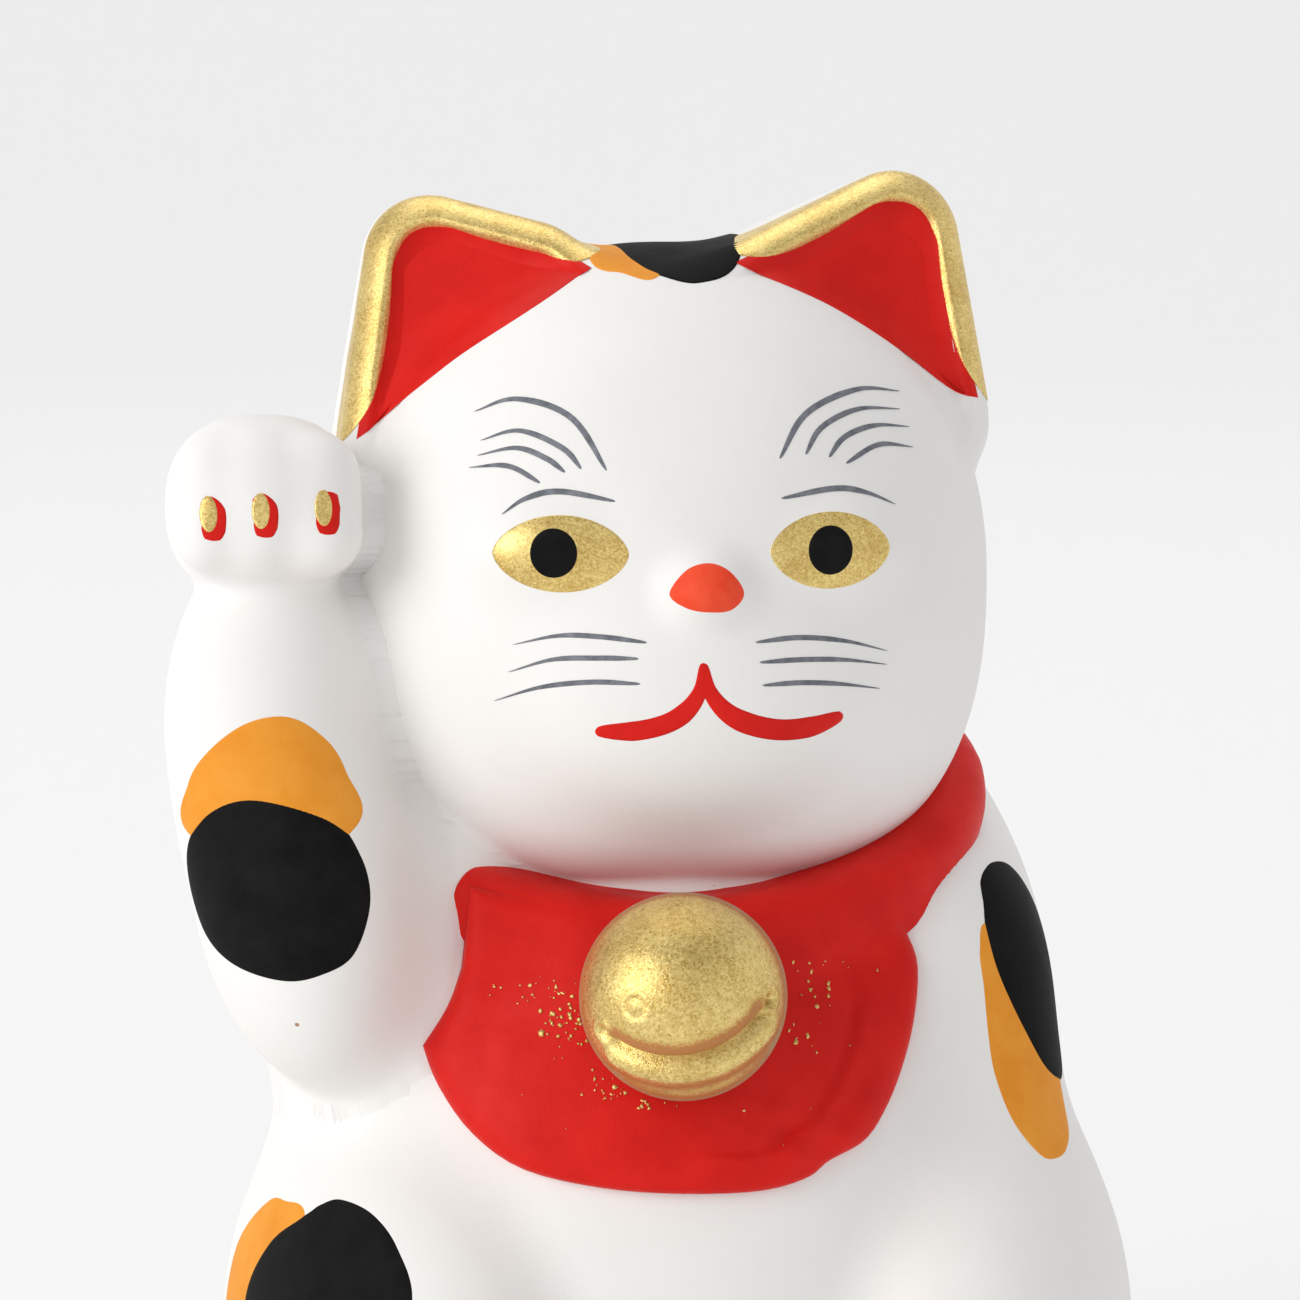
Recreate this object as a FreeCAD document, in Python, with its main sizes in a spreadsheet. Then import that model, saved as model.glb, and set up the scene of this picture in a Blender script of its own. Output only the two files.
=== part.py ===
import FreeCAD, Part

# Beckoning cat figurine: a hollow clay doll pressed in two mould halves, closed
# below by a slab, with the raised foreleg, bib, collar, bell and tail luted on.
# Millimetres, +Z up, the cat faces -Y. The origin is the middle of the face that
# the doll rests on.

import os
import re

doc = FreeCAD.newDocument("beckoning_cat")

# ---------------------------------------------------------------- driving sizes
SIZES = {
    # walls and clearances of the pressed clay
    "wall": 4.0,                 # thickness of the pressed shell
    "slab_thickness": 5.0,       # slab that closes the bottom
    "vent_diameter": 9.0,        # vent hole through the slab
    "vent_offset": 16.0,         # vent hole, behind the middle of the slab
    "parting_depth": 5.0,        # plane where the two mould halves meet, behind the middle
    # head
    "head_width": 65.2,
    "head_depth": 61.0,
    "head_height": 63.6,
    "head_forward": 4.0,         # head hangs forward of the body's middle
    "neck_sink": 8.3,            # head is sunk this far into the top of the chest
    "muzzle_width": 28.0,
    "muzzle_height": 20.0,
    "muzzle_depth": 16.4,
    "muzzle_inset": 8.5,         # muzzle's middle, behind the front of the head
    "muzzle_drop": 9.5,          # and below the head's middle
    "nose_width": 8.0,
    "nose_height": 6.6,
    "nose_depth": 8.6,
    "nose_out": 0.3,             # nose's middle, in front of the head
    "nose_rise": 0.2,            # and above the head's middle
    # ears
    "ear_rise": 7.6,             # ear tip above the crown
    "ear_skew": 1.4,             # one ear stands this much higher, the other lower
    "ear_root_out": 0.4,         # ear's root stands out beyond the head's side
    "ear_tip_inset": 3.0,        # and its tip lies inside it
    "ear_set": 2.0,              # ear's back, in front of the parting plane
    "ear_tip_width": 10.0,
    "ear_root_width": 52.0,
    "ear_tip_depth": 8.0,
    "ear_root_depth": 19.0,
    "ear_height": 30.0,
    "ear_edge": 3.0,             # rounding of the ear's edges
    # body
    "chest_width": 75.0,
    "chest_depth": 68.0,
    "chest_height": 77.0,
    "chest_sink": 3.5,           # part of the chest's oval cut off by the resting face
    "back_width": 80.0,
    "back_depth": 52.0,
    "back_height": 74.0,
    "back_set": 10.0,            # the back's oval sits behind the middle
    "back_rise": 17.5,           # and rises above the chest into the head
    "rump_width": 80.0,
    "rump_depth": 64.0,
    "rump_height": 74.0,
    "rump_sink": 23.0,
    "rump_set": 3.0,
    "rump_shift": 1.0,           # rump sits a little to the right
    "shoulder_width": 34.0,      # shoulder that the raised foreleg is luted to
    "shoulder_height": 42.0,
    "shoulder_inset": 12.5,
    "shoulder_drop": 14.0,
    "shoulder_forward": 5.0,
    "haunch_width": 41.0,
    "haunch_depth": 62.0,
    "haunch_height": 59.0,
    "haunch_sink": 9.5,
    "haunch_forward": 5.0,
    "left_haunch_out": 6.3,      # haunches stand out beyond the chest
    "right_haunch_out": 9.8,
    "foreleg_width": 26.4,
    "foreleg_height": 52.0,
    "foreleg_inset": 10.8,       # foreleg's middle, inside the chest's side
    "foreleg_forward": 18.5,
    "foot_thickness": 18.0,
    "foot_rise": 6.75,           # feet's middle above the resting face
    "foot_inset": 4.0,           # and behind the front of the chest
    "right_foot_inset": 14.0,
    "right_foot_out": 10.2,      # right hind foot turns out from its haunch's middle
    "forefoot_width": 25.0,
    "forefoot_length": 24.0,
    "hind_foot_width": 20.0,
    "hind_foot_length": 27.0,
    # raised foreleg
    "elbow_drop": 6.9,           # elbow's middle, below the top of the chest
    "elbow_inset": 1.2,          # elbow's middle, inside the chest's side
    "elbow_forward": 16.5,
    # bib, collar, bell, tail
    "bib_thickness": 2.0,
    "bib_width": 52.0,
    "bib_drop": 34.2,            # lowest point of the bib, below the top of the chest
    "bib_shift": 1.2,            # bib hangs a little to the left
    "bib_cutter_share": 0.8,     # bib's outline is cut by an oval whose middle stands
                                 # this share of the chest's depth in front of the doll
    "collar_height": 9.5,
    "collar_share": 0.84,        # collar's width as a share of the back's
    "collar_out": 0.5,           # collar stands out beyond the head's front
    "collar_swell": 40.0,        # height of the oval that rounds the collar's outer face
    "collar_tilt": 21.0,         # degrees that the collar rises to the back
    "collar_drop": 0.0,          # collar's middle, below the top of the chest
    "bell_diameter": 19.8,
    "bell_drop": 15.5,           # bell's middle, below the top of the chest
    "bell_shift": 2.2,           # bell hangs a little to the left
    "bell_bed": 3.0,             # depth that the bell is pressed flat where it is stuck on
    "slot_width": 1.6,           # slot pressed round the lower part of the bell
    "slot_depth": 0.9,
    "slot_drop": 3.8,
    "tail_diameter": 13.0,
    "tail_height": 27.0,
    "tail_bed": 0.5,             # tail's middle lies this deep in the rump
    "tail_rise": 1.0,            # tail's lowest point above the resting face
}

# Sections of the raised foreleg, from its lowest point to the top of the paw:
# height above the elbow's middle, distance outwards, width and depth.
ARM_SECTIONS = {
    "elbow_tip": (-18.6, -2.6, 7.0, 8.5),
    "elbow_low": (-14.5, -2.0, 17.0, 20.0),
    "elbow": (-6.0, -0.6, 22.4, 26.0),
    "arm": (4.0, 1.2, 22.0, 25.0),
    "forearm": (17.5, 3.7, 19.8, 20.0),
    "wrist": (30.0, 4.0, 17.0, 18.0),
    "palm": (38.0, 4.1, 18.4, 19.5),
    "knuckles": (43.5, 4.1, 15.0, 16.0),
    "paw_top": (46.4, 4.1, 7.0, 8.0),
}
for name, sizes in ARM_SECTIONS.items():
    for word, value in zip(("rise", "out", "width", "depth"), sizes):
        SIZES[f"{name}_{word}"] = value

sheet = doc.addObject("Spreadsheet::Sheet", "Sizes")
for row, (name, value) in enumerate(SIZES.items(), start=1):
    sheet.set(f"A{row}", name)
    sheet.set(f"B{row}", str(value))
    sheet.setAlias(f"B{row}", name)
doc.recompute()


def cells(formula):
    """Put the sheet's name before each size that the formula uses."""
    return re.sub(r"[a-z_]+", lambda word: f"Sizes.{word[0]}" if word[0] in SIZES
                  else word[0], formula)


def bind(thing, **formulas):
    """Bind properties of a document object to formulas over the sheet's sizes."""
    for prop, formula in formulas.items():
        thing.setExpression(prop, cells(formula))
    return thing


def turn(thing, axis, angle):
    """Turn an object about an axis, by a formula in degrees."""
    thing.Placement.Rotation = FreeCAD.Rotation(FreeCAD.Vector(*axis), 1)
    thing.setExpression("Placement.Rotation.Angle", cells(f"( {angle} ) * 1 deg"))
    return thing


def place(thing, x="0", y="0", z="0"):
    """Bind the place of an object."""
    for axis, formula in zip("xyz", (x, y, z)):
        thing.setExpression(f"Placement.Base.{axis}", cells(formula))
    return thing


def oval(name, semi, x="0", y="0", z="0", axis=None, angle="0"):
    """Ellipsoid with bound semi-axes (x, y, z), place and lean."""
    body = doc.addObject("Part::Ellipsoid", name)
    bind(body, Radius2=semi[0], Radius3=semi[1], Radius1=semi[2])
    if axis:
        turn(body, axis, angle)
    return place(body, x, y, z)


def block(name, size, x, y, z):
    """Box with bound sizes and place."""
    body = doc.addObject("Part::Box", name)
    bind(body, Length=size[0], Width=size[1], Height=size[2])
    return place(body, x, y, z)


def join(name, pieces):
    """Fuse pieces into one, one after another."""
    whole = pieces[0]
    for number, piece in enumerate(pieces[1:], start=1):
        fused = doc.addObject("Part::Fuse", f"{name}_{number}")
        fused.Base, fused.Tool = whole, piece
        whole = fused
    return whole


def cut(name, base, tool):
    """Base without tool."""
    rest = doc.addObject("Part::Cut", name)
    rest.Base, rest.Tool = base, tool
    return rest


def common(name, first, second):
    """What two pieces share."""
    both = doc.addObject("Part::MultiCommon", name)
    both.Shapes = [first, second]
    return both


# ------------------------------------------------ places worked out from the sizes
CHEST_TOP = "( chest_height - chest_sink )"
CHEST_Z = "( chest_height / 2 - chest_sink )"
HEAD_Z = f"( {CHEST_TOP} - neck_sink + head_height / 2 )"
CROWN = f"( {HEAD_Z} + head_height / 2 )"
BACK_Z = f"( {CHEST_TOP} + back_rise - back_height / 2 )"
HAUNCH_Z = "( haunch_height / 2 - haunch_sink )"
LEFT_HAUNCH_X = "( haunch_width / 2 - left_haunch_out - chest_width / 2 )"
RIGHT_HAUNCH_X = "( chest_width / 2 + right_haunch_out - haunch_width / 2 )"
FORELEG_X = "( chest_width / 2 - foreleg_inset )"
SHOULDER_X = "( shoulder_inset - chest_width / 2 )"
ELBOW_X = "( elbow_inset - chest_width / 2 )"
ELBOW_Z = f"( {CHEST_TOP} - elbow_drop )"
COLLAR_Z = f"( {CHEST_TOP} - collar_drop )"
BELL_Z = f"( {CHEST_TOP} - bell_drop )"
# front of the chest's oval at the bell's height
CHEST_FRONT = (f"( 0 - chest_depth / 2 * sqrt(1 - ( ( {BELL_Z} - {CHEST_Z} )"
               f" / ( chest_height / 2 ) ) ^ 2 ) )")
ROOM = "( 2 * ( chest_height + head_height ) )"      # larger than the whole doll


# ---------------------------------------------------------------- body, outside
def lumps(prefix, skin):
    """The ovals that the hollow body is modelled from, each shrunk by skin."""
    def semi(*sizes):
        return [f"{size} / 2 - {skin}" for size in sizes]
    return [
        oval(prefix + "_head", semi("head_width", "head_depth", "head_height"),
             y="0 - head_forward", z=HEAD_Z),
        oval(prefix + "_chest", semi("chest_width", "chest_depth", "chest_height"),
             z=CHEST_Z),
        oval(prefix + "_left_haunch", semi("haunch_width", "haunch_depth", "haunch_height"),
             x=LEFT_HAUNCH_X, y="0 - haunch_forward", z=HAUNCH_Z),
        oval(prefix + "_right_haunch", semi("haunch_width", "haunch_depth", "haunch_height"),
             x=RIGHT_HAUNCH_X, y="0 - haunch_forward", z=HAUNCH_Z),
        oval(prefix + "_back", semi("back_width", "back_depth", "back_height"),
             y="back_set", z=BACK_Z),
        oval(prefix + "_rump", semi("rump_width", "rump_depth", "rump_height"),
             x="rump_shift", y="rump_set", z="rump_height / 2 - rump_sink"),
        oval(prefix + "_shoulder",
             semi("shoulder_width", "shoulder_width", "shoulder_height"),
             x=SHOULDER_X, y="0 - shoulder_forward", z=f"{CHEST_TOP} - shoulder_drop"),
    ]


def ear(side, sign):
    """Upright wedge with rounded edges; its outer side follows the head's side."""
    wedge = doc.addObject("Part::Wedge", side + "_ear_wedge")
    outer = "( head_width / 2 + ear_root_out )"
    tip = "( head_width / 2 - ear_tip_inset )"
    if sign > 0:
        near, far = f"{outer} - ear_root_width", outer
        near_tip, far_tip = f"{tip} - ear_tip_width", tip
    else:
        near, far = f"0 - {outer}", f"ear_root_width - {outer}"
        near_tip, far_tip = f"0 - {tip}", f"ear_tip_width - {tip}"
    bind(wedge, Xmin=near, Xmax=far, X2min=near_tip, X2max=far_tip,
         Ymin="0", Ymax="ear_height", Zmin="0", Zmax="ear_root_depth",
         Z2min="0", Z2max="ear_tip_depth")
    wedge.Placement.Rotation = FreeCAD.Rotation(FreeCAD.Vector(1, 0, 0), 90)
    skew = "+ ear_skew" if sign > 0 else "- ear_skew"
    place(wedge, y="parting_depth - ear_set", z=f"{CROWN} + ear_rise {skew} - ear_height")
    doc.recompute()
    soft = doc.addObject("Part::Fillet", side + "_ear")
    soft.Base = wedge
    radius = min(sheet.get("ear_edge"), 0.45 * sheet.get("ear_tip_depth"))
    soft.Edges = [(number, radius, radius)
                  for number in range(1, len(wedge.Shape.Edges) + 1)]
    return soft


def standing(piece):
    """The part of a piece above the resting face."""
    return common(piece.Name + "_standing", piece, above)


def feet():
    """Forefoot and the two hind feet, at the front of the resting face."""
    def foot(name, kind, x, inset):
        return oval(name, [f"{kind}_width / 2", f"{kind}_length / 2", "foot_thickness / 2"],
                    x=x, y=f"{inset} - chest_depth / 2", z="foot_rise")
    return [
        foot("left_hind_foot", "hind_foot", LEFT_HAUNCH_X, "foot_inset"),
        foot("forefoot", "forefoot", FORELEG_X, "foot_inset"),
        foot("right_hind_foot", "hind_foot", f"{RIGHT_HAUNCH_X} + right_foot_out",
             "right_foot_inset"),
    ]


above = block("above_rest", [ROOM, ROOM, ROOM], f"0 - {ROOM} / 2", f"0 - {ROOM} / 2", "0")
foreleg = oval("foreleg", ["foreleg_width / 2", "foreleg_width / 2", "foreleg_height"],
               x=FORELEG_X, y="0 - foreleg_forward")
muzzle = oval("muzzle", ["muzzle_width / 2", "muzzle_depth / 2", "muzzle_height / 2"],
              y="muzzle_inset - head_forward - head_depth / 2",
              z=f"{HEAD_Z} - muzzle_drop")
nose = oval("nose", ["nose_width / 2", "nose_depth / 2", "nose_height / 2"],
            y="0 - head_forward - head_depth / 2 - nose_out", z=f"{HEAD_Z} + nose_rise")

outer_lumps = lumps("outer", "0")
skin = join("skin", [standing(piece) for piece in outer_lumps + [foreleg] + feet()]
            + [muzzle, nose, ear("left", -1), ear("right", 1)])

# ---------------------------------------------------------------- body, inside
hollow = join("hollow", [standing(piece) for piece in lumps("inner", "wall")])
clay = cut("clay", skin, hollow)

front_half = block("front_half", [ROOM, ROOM, ROOM], f"0 - {ROOM} / 2",
                   f"parting_depth - {ROOM}", "0")
back_half = block("back_half", [ROOM, ROOM, ROOM], f"0 - {ROOM} / 2", "parting_depth", "0")
front_shell = common("front_shell", clay, front_half)
back_shell = common("back_shell", clay, back_half)

# ------------------------------------------------------------ slab in the bottom
slab_room = block("slab_room", [ROOM, ROOM, "slab_thickness"],
                  f"0 - {ROOM} / 2", f"0 - {ROOM} / 2", "0")
slab_blank = common("slab_blank", hollow, slab_room)
vent = doc.addObject("Part::Cylinder", "vent")
bind(vent, Radius="vent_diameter / 2", Height="slab_thickness * 3")
place(vent, y="vent_offset", z="0 - slab_thickness")
base_slab = cut("base_slab", slab_blank, vent)

# ---------------------------------------------------------------- raised foreleg
sections = []
for name in ARM_SECTIONS:
    section = doc.addObject("Part::Ellipse", name + "_section")
    bind(section, MajorRadius=f"{name}_depth / 2", MinorRadius=f"{name}_width / 2")
    turn(section, (0, 0, 1), "90")
    place(section, f"{ELBOW_X} - {name}_out", "0 - elbow_forward",
          f"{ELBOW_Z} + {name}_rise")
    sections.append(section)
limb = doc.addObject("Part::Loft", "limb")
limb.Sections = sections
limb.Solid = True
beckoning_arm = limb
for lump in outer_lumps:
    beckoning_arm = cut("arm_off_" + lump.Name, beckoning_arm, lump)

# ---------------------------------------------------------------- collar
collar_swell = oval("collar_swell_oval",
                    ["back_width * collar_share / 2", "head_depth / 2 + collar_out",
                     "collar_swell / 2"],
                    z=COLLAR_Z, axis=(1, 0, 0), angle="collar_tilt")
collar_slab = doc.addObject("Part::Cylinder", "collar_slab")
bind(collar_slab, Radius=ROOM, Height="collar_height")
turn(collar_slab, (1, 0, 0), "collar_tilt")
place(collar_slab, y="sin(collar_tilt) * collar_height / 2",
      z=f"{COLLAR_Z} - cos(collar_tilt) * collar_height / 2")
collar_band = common("collar_band", collar_swell, collar_slab)
neck_core = join("neck_core", [skin, hollow])
collar_ring = cut("collar_ring", collar_band, neck_core)
collar = cut("collar", collar_ring, limb)

# ---------------------------------------------------------------- bib
bib_layer = oval("bib_layer", [f"{size} / 2 + bib_thickness"
                               for size in ("chest_width", "chest_depth", "chest_height")],
                 z=CHEST_Z)
bib_bottom = oval("bib_bottom", ["bib_width / 2", "chest_depth", "bib_drop / 2"],
                  x="0 - bib_shift", y="0 - chest_depth * bib_cutter_share",
                  z=f"{CHEST_TOP} - bib_drop / 2")
under_collar = doc.addObject("Part::Cylinder", "under_collar")
bind(under_collar, Radius=f"{ROOM} / 2", Height=ROOM)
turn(under_collar, (1, 0, 0), "180 + collar_tilt")
place(under_collar, z=COLLAR_Z)
bib_blank = common("bib_blank", bib_layer, bib_bottom)
bib_shape = common("bib_shape", bib_blank, under_collar)
bib_clear = cut("bib_clear", bib_shape, neck_core)
bib_under = cut("bib_under", bib_clear, limb)
bib = cut("bib", bib_under, collar_band)

# ---------------------------------------------------------------- bell
ball = doc.addObject("Part::Sphere", "bell_ball")
bind(ball, Radius="bell_diameter / 2")
BELL_Y = f"( {CHEST_FRONT} - bib_thickness + bell_bed - bell_diameter / 2 )"
place(ball, "0 - bell_shift", BELL_Y, BELL_Z)
slot = doc.addObject("Part::Torus", "bell_slot")
bind(slot, Radius1="sqrt(( bell_diameter / 2 ) ^ 2 - slot_drop ^ 2 ) + slot_width / 2"
     " - slot_depth", Radius2="slot_width / 2")
place(slot, "0 - bell_shift", BELL_Y, f"{BELL_Z} - slot_drop")
bell_cut = cut("bell_cut", ball, slot)
bed = join("bell_bed", [skin, collar_band, bib_layer])
bell = cut("bell", bell_cut, bed)

# ---------------------------------------------------------------- tail
# An oval turned so that its poles point into and away from the rump.
tail_blank = oval("tail_blank", ["tail_diameter / 2", "tail_height / 2", "tail_diameter / 2"],
                  y="rump_set + rump_depth / 2 - tail_bed", z="tail_height / 2 + tail_rise",
                  axis=(1, 0, 0), angle="0 - 90")
tail = cut("tail", tail_blank, skin)

# ---------------------------------------------------------------- check and write
NODES = {
    "front_shell": front_shell, "back_shell": back_shell, "base_slab": base_slab,
    "beckoning_arm": beckoning_arm, "bib": bib, "collar": collar, "bell": bell,
    "tail": tail,
}
doc.recompute()
for thing in doc.Objects:
    if "Invalid" in thing.State or "Error" in thing.State:
        raise RuntimeError(f"{thing.Name} failed: {thing.State}")
os.makedirs("parts", exist_ok=True)
for name, thing in NODES.items():
    thing.Label = name
    shape = thing.Shape
    if shape.isNull() or not shape.isValid() or len(shape.Solids) != 1:
        raise RuntimeError(f"{name} isn't one valid solid")
    print(name, round(shape.Volume), shape.BoundBox)
    shape.exportStep(f"parts/{name}.step")
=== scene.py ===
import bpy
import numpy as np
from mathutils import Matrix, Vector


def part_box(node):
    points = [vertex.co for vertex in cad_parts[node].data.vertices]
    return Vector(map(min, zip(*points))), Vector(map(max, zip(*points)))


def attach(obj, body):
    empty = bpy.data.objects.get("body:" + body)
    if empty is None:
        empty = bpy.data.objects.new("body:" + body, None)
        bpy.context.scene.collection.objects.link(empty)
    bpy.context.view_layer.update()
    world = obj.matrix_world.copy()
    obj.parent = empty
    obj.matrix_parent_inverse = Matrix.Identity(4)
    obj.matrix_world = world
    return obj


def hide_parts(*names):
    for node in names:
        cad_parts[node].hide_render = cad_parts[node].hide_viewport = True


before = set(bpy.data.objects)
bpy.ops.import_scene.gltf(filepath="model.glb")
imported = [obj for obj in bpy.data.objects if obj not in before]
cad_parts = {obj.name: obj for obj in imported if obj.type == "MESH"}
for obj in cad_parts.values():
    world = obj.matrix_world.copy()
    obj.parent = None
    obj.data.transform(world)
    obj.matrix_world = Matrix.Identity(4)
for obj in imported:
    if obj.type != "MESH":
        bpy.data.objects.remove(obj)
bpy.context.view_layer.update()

# Beckoning cat doll. Every shape is worked out in millimetres of the doll, with
# +Z up and the face towards -Y, and UNIT turns them into the frame's metres.
# A shape is a smooth field, negative inside the clay. A skin is where rays from
# inside a lump leave that field.

shell_low, shell_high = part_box("front_shell")
DOLL_HEIGHT = 137.8                       # mm, resting face to the higher ear tip
UNIT = (shell_high[2] - shell_low[2]) / DOLL_HEIGHT


# ---------------------------------------------------------------- fields
def smin(a, b, k):
    """The lesser of two fields, with the crease filled over a width k."""
    h = np.maximum(k - np.abs(a - b), 0.0) / k
    return np.minimum(a, b) - h * h * k * 0.25


def smax(a, b, k):
    """The greater of two fields, with the edge rounded over a width k."""
    return -smin(-a, -b, k)


def smoothstep(low, high, x):
    """0 below low, 1 above high, and a cubic in between."""
    t = np.clip((x - low) / (high - low), 0.0, 1.0)
    return t * t * (3.0 - 2.0 * t)


def capsule(p, a, b, radius_a, radius_b):
    """Distance to a rod from a to b whose radius tapers."""
    a, b = np.array(a, float), np.array(b, float)
    along = b - a
    h = np.clip(((p - a) @ along) / (along @ along), 0.0, 1.0)
    away = np.linalg.norm(p - a - h[..., None] * along, axis=-1)
    return away - (radius_a + (radius_b - radius_a) * h)


def egg(p, centre, semi, roll=0.0, n=2.0, n_top=None):
    """Nearly the distance to an oval with those semi-axes, rolled about Y. n above 2
    squares its outline seen from the front, and n_top does so for its upper half."""
    q = p - np.array(centre, float)
    if roll:
        c, s = np.cos(np.radians(roll)), np.sin(np.radians(roll))
        q = np.stack([c * q[..., 0] - s * q[..., 2], q[..., 1],
                      s * q[..., 0] + c * q[..., 2]], -1)
    a = np.abs(q) / np.array(semi, float)
    if n == 2.0 and n_top is None:
        k = np.sqrt((a ** 2).sum(-1))
    else:
        e = n if n_top is None else np.where(q[..., 2] > 0, n_top, n)
        k = np.sqrt((a[..., 0] ** e + a[..., 2] ** e) ** (2.0 / e) + a[..., 1] ** 2)
    steep = np.sqrt(((q / np.array(semi, float) ** 2) ** 2).sum(-1))
    return k * (k - 1.0) / np.maximum(steep, 1e-6)


def polygon(x, z, corners):
    """Signed distance to a flat bulging polygon whose corners run anticlockwise."""
    best, inside = np.full(x.shape, 1e9), np.ones(x.shape, bool)
    for (ax, az), (bx, bz) in zip(corners, corners[1:] + corners[:1]):
        ex, ez = bx - ax, bz - az
        wx, wz = x - ax, z - az
        h = np.clip((wx * ex + wz * ez) / (ex * ex + ez * ez), 0.0, 1.0)
        best = np.minimum(best, (wx - h * ex) ** 2 + (wz - h * ez) ** 2)
        inside &= ex * wz - ez * wx >= 0
    return np.where(inside, -1.0, 1.0) * np.sqrt(best)


# ---------------------------------------------------------------- the cat's lumps
SKULL = ((0, -4, 96.0), (32.6, 30.8, 32.8))          # centre and semi-axes, mm
SKULL_SQUARE, CROWN_SQUARE = 2.5, 2.15
FACE_LUMPS = [                            # centre, semi-axes, width of crease filled
    ((0.3, -26.2, 87.0), (14.0, 8.2, 10.0), 6.0),     # muzzle
    ((-13.8, -27.2, 100.8), (6.8, 5.0, 4.6), 3.5),    # left eyeball
    ((12.7, -27.2, 100.8), (6.8, 5.0, 4.6), 3.5),     # right eyeball
    ((0.2, -33.9, 97.3), (4.0, 3.7, 3.3), 2.6),       # nose
]


def head(p):
    """Broad oval, squared below into cheeks and chin, with the face's lumps on it."""
    d = egg(p, *SKULL, n=SKULL_SQUARE, n_top=CROWN_SQUARE)
    for centre, semi, crease in FACE_LUMPS:
        d = smin(d, egg(p, centre, semi), crease)
    return d


TOE_GROOVE = 0.9                          # mm deep, and nearly as wide
TOE_COUNT = 3


def foot(p, centre, semi, turn):
    """Rounded paw, turned about Z, whose front is parted into toes by grooves."""
    c, s = np.cos(np.radians(turn)), np.sin(np.radians(turn))
    q = p - np.array(centre, float)
    x, y = c * q[..., 0] + s * q[..., 1], -s * q[..., 0] + c * q[..., 1]
    d = egg(np.stack([x, y, q[..., 2]], -1), (0, 0, 0), semi, n=2.6)
    pitch = semi[0] * 0.62
    for place in np.arange(TOE_COUNT - 1) - (TOE_COUNT - 2) / 2:
        groove = np.exp(-((x - place * pitch) / TOE_GROOVE) ** 2)
        d = d + TOE_GROOVE * groove * smoothstep(-0.2, -0.75, y / semi[1])
    return d


CHEST = ((0, 0, 35.0), (37.5, 34.0, 38.5))
TORSO_LUMPS = [                           # centre, semi-axes, squareness, crease filled
    ((1.0, 10, 54.0), (40.0, 26.0, 37.0), 2.0, 5.0),          # back
    ((1.0, 3, 14.0), (40.0, 32.0, 37.0), 2.0, 5.0),           # rump
    ((-25.0, -5, 59.5), (17.0, 17.0, 21.0), 2.0, 4.0),        # left shoulder
    ((-23.3, -5, 20.0), (20.5, 31.0, 29.5), 2.0, 3.5),        # left haunch
    ((26.8, -5, 20.0), (20.5, 31.0, 29.5), 2.0, 4.0),         # right haunch
    ((24.0, -3, 54.0), (15.4, 19.0, 19.0), 2.0, 6.0),         # right shoulder
    ((27.4, -10.5, 26.0), (12.6, 17.0, 33.0), 2.6, 5.0),      # right foreleg
]
FEET = [                                  # centre, semi-axes, degrees turned
    ((26.4, -28, 6.6), (12.0, 12.5, 8.6), 0.0),               # right forefoot
    ((-24.0, -30, 6.4), (10.4, 13.0, 8.2), -6.0),             # left hind foot
    ((38.0, -21, 6.2), (9.2, 13.5, 7.8), 12.0),               # right hind foot
]
FOOT_CREASE, BASE_ROUND = 2.5, 3.0        # mm


def torso(p):
    """Chest with the trunk's lumps and feet blended on, cut flat at the base."""
    d = egg(p, *CHEST)
    for centre, semi, square, crease in TORSO_LUMPS:
        d = smin(d, egg(p, centre, semi, n=square), crease)
    for centre, semi, turn in FEET:
        d = smin(d, foot(p, centre, semi, turn), FOOT_CREASE)
    return smax(d, -p[..., 2], BASE_ROUND)


def body(p):
    """Head on the torso, with hardly any fillet at the neck."""
    return smin(head(p), torso(p), 1.5)


EAR_CORNERS = {1: [(3.4, 119.0), (25.6, 110.5), (23.5, 127.8)],
               -1: [(3.4, 119.0), (25.6, 110.5), (22.6, 128.4), (13.5, 126.0)]}
EAR_ROUND = 6.5
EAR_CENTRE = (17.4, 119.4)
EAR_SKEW = 1.4                            # mm, one ear stands higher, the other lower
EAR_MIDDLE = (19.0, 118.0)                # mm across and up, where its planes are given
EAR_FRONT, EAR_BACK = -13.4, 4.0          # mm, its front and back planes there
EAR_LEAN, EAR_TURN, EAR_TAPER = 0.40, 0.30, 0.12
EAR_DISH, EAR_EDGE = 1.0, 2.6             # mm, hollow of the front and radius of the edge
EAR_FILLET = 2.2                          # mm, where it meets the head


def ear(p, side):
    """Rounded slab, nearly a triangle, whose front leans back and is slightly dished."""
    x, y, z = p[..., 0] * side, p[..., 1], p[..., 2] - EAR_SKEW * side
    rim = polygon(x, z, EAR_CORNERS[side]) - EAR_ROUND
    front = EAR_FRONT + EAR_LEAN * (z - EAR_MIDDLE[1]) + EAR_TURN * (x - EAR_MIDDLE[0])
    front = front + EAR_DISH * smoothstep(1.9, 3.3, -rim)
    slab = smax(front - y, y - EAR_BACK + EAR_TAPER * (z - EAR_MIDDLE[1]), 3.0)
    u, v = np.maximum(rim + EAR_EDGE, 0.0), np.maximum(slab + EAR_EDGE, 0.0)
    inner = np.minimum(np.maximum(rim, slab) + EAR_EDGE, 0.0)
    return np.sqrt(u * u + v * v) + inner - EAR_EDGE


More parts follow.
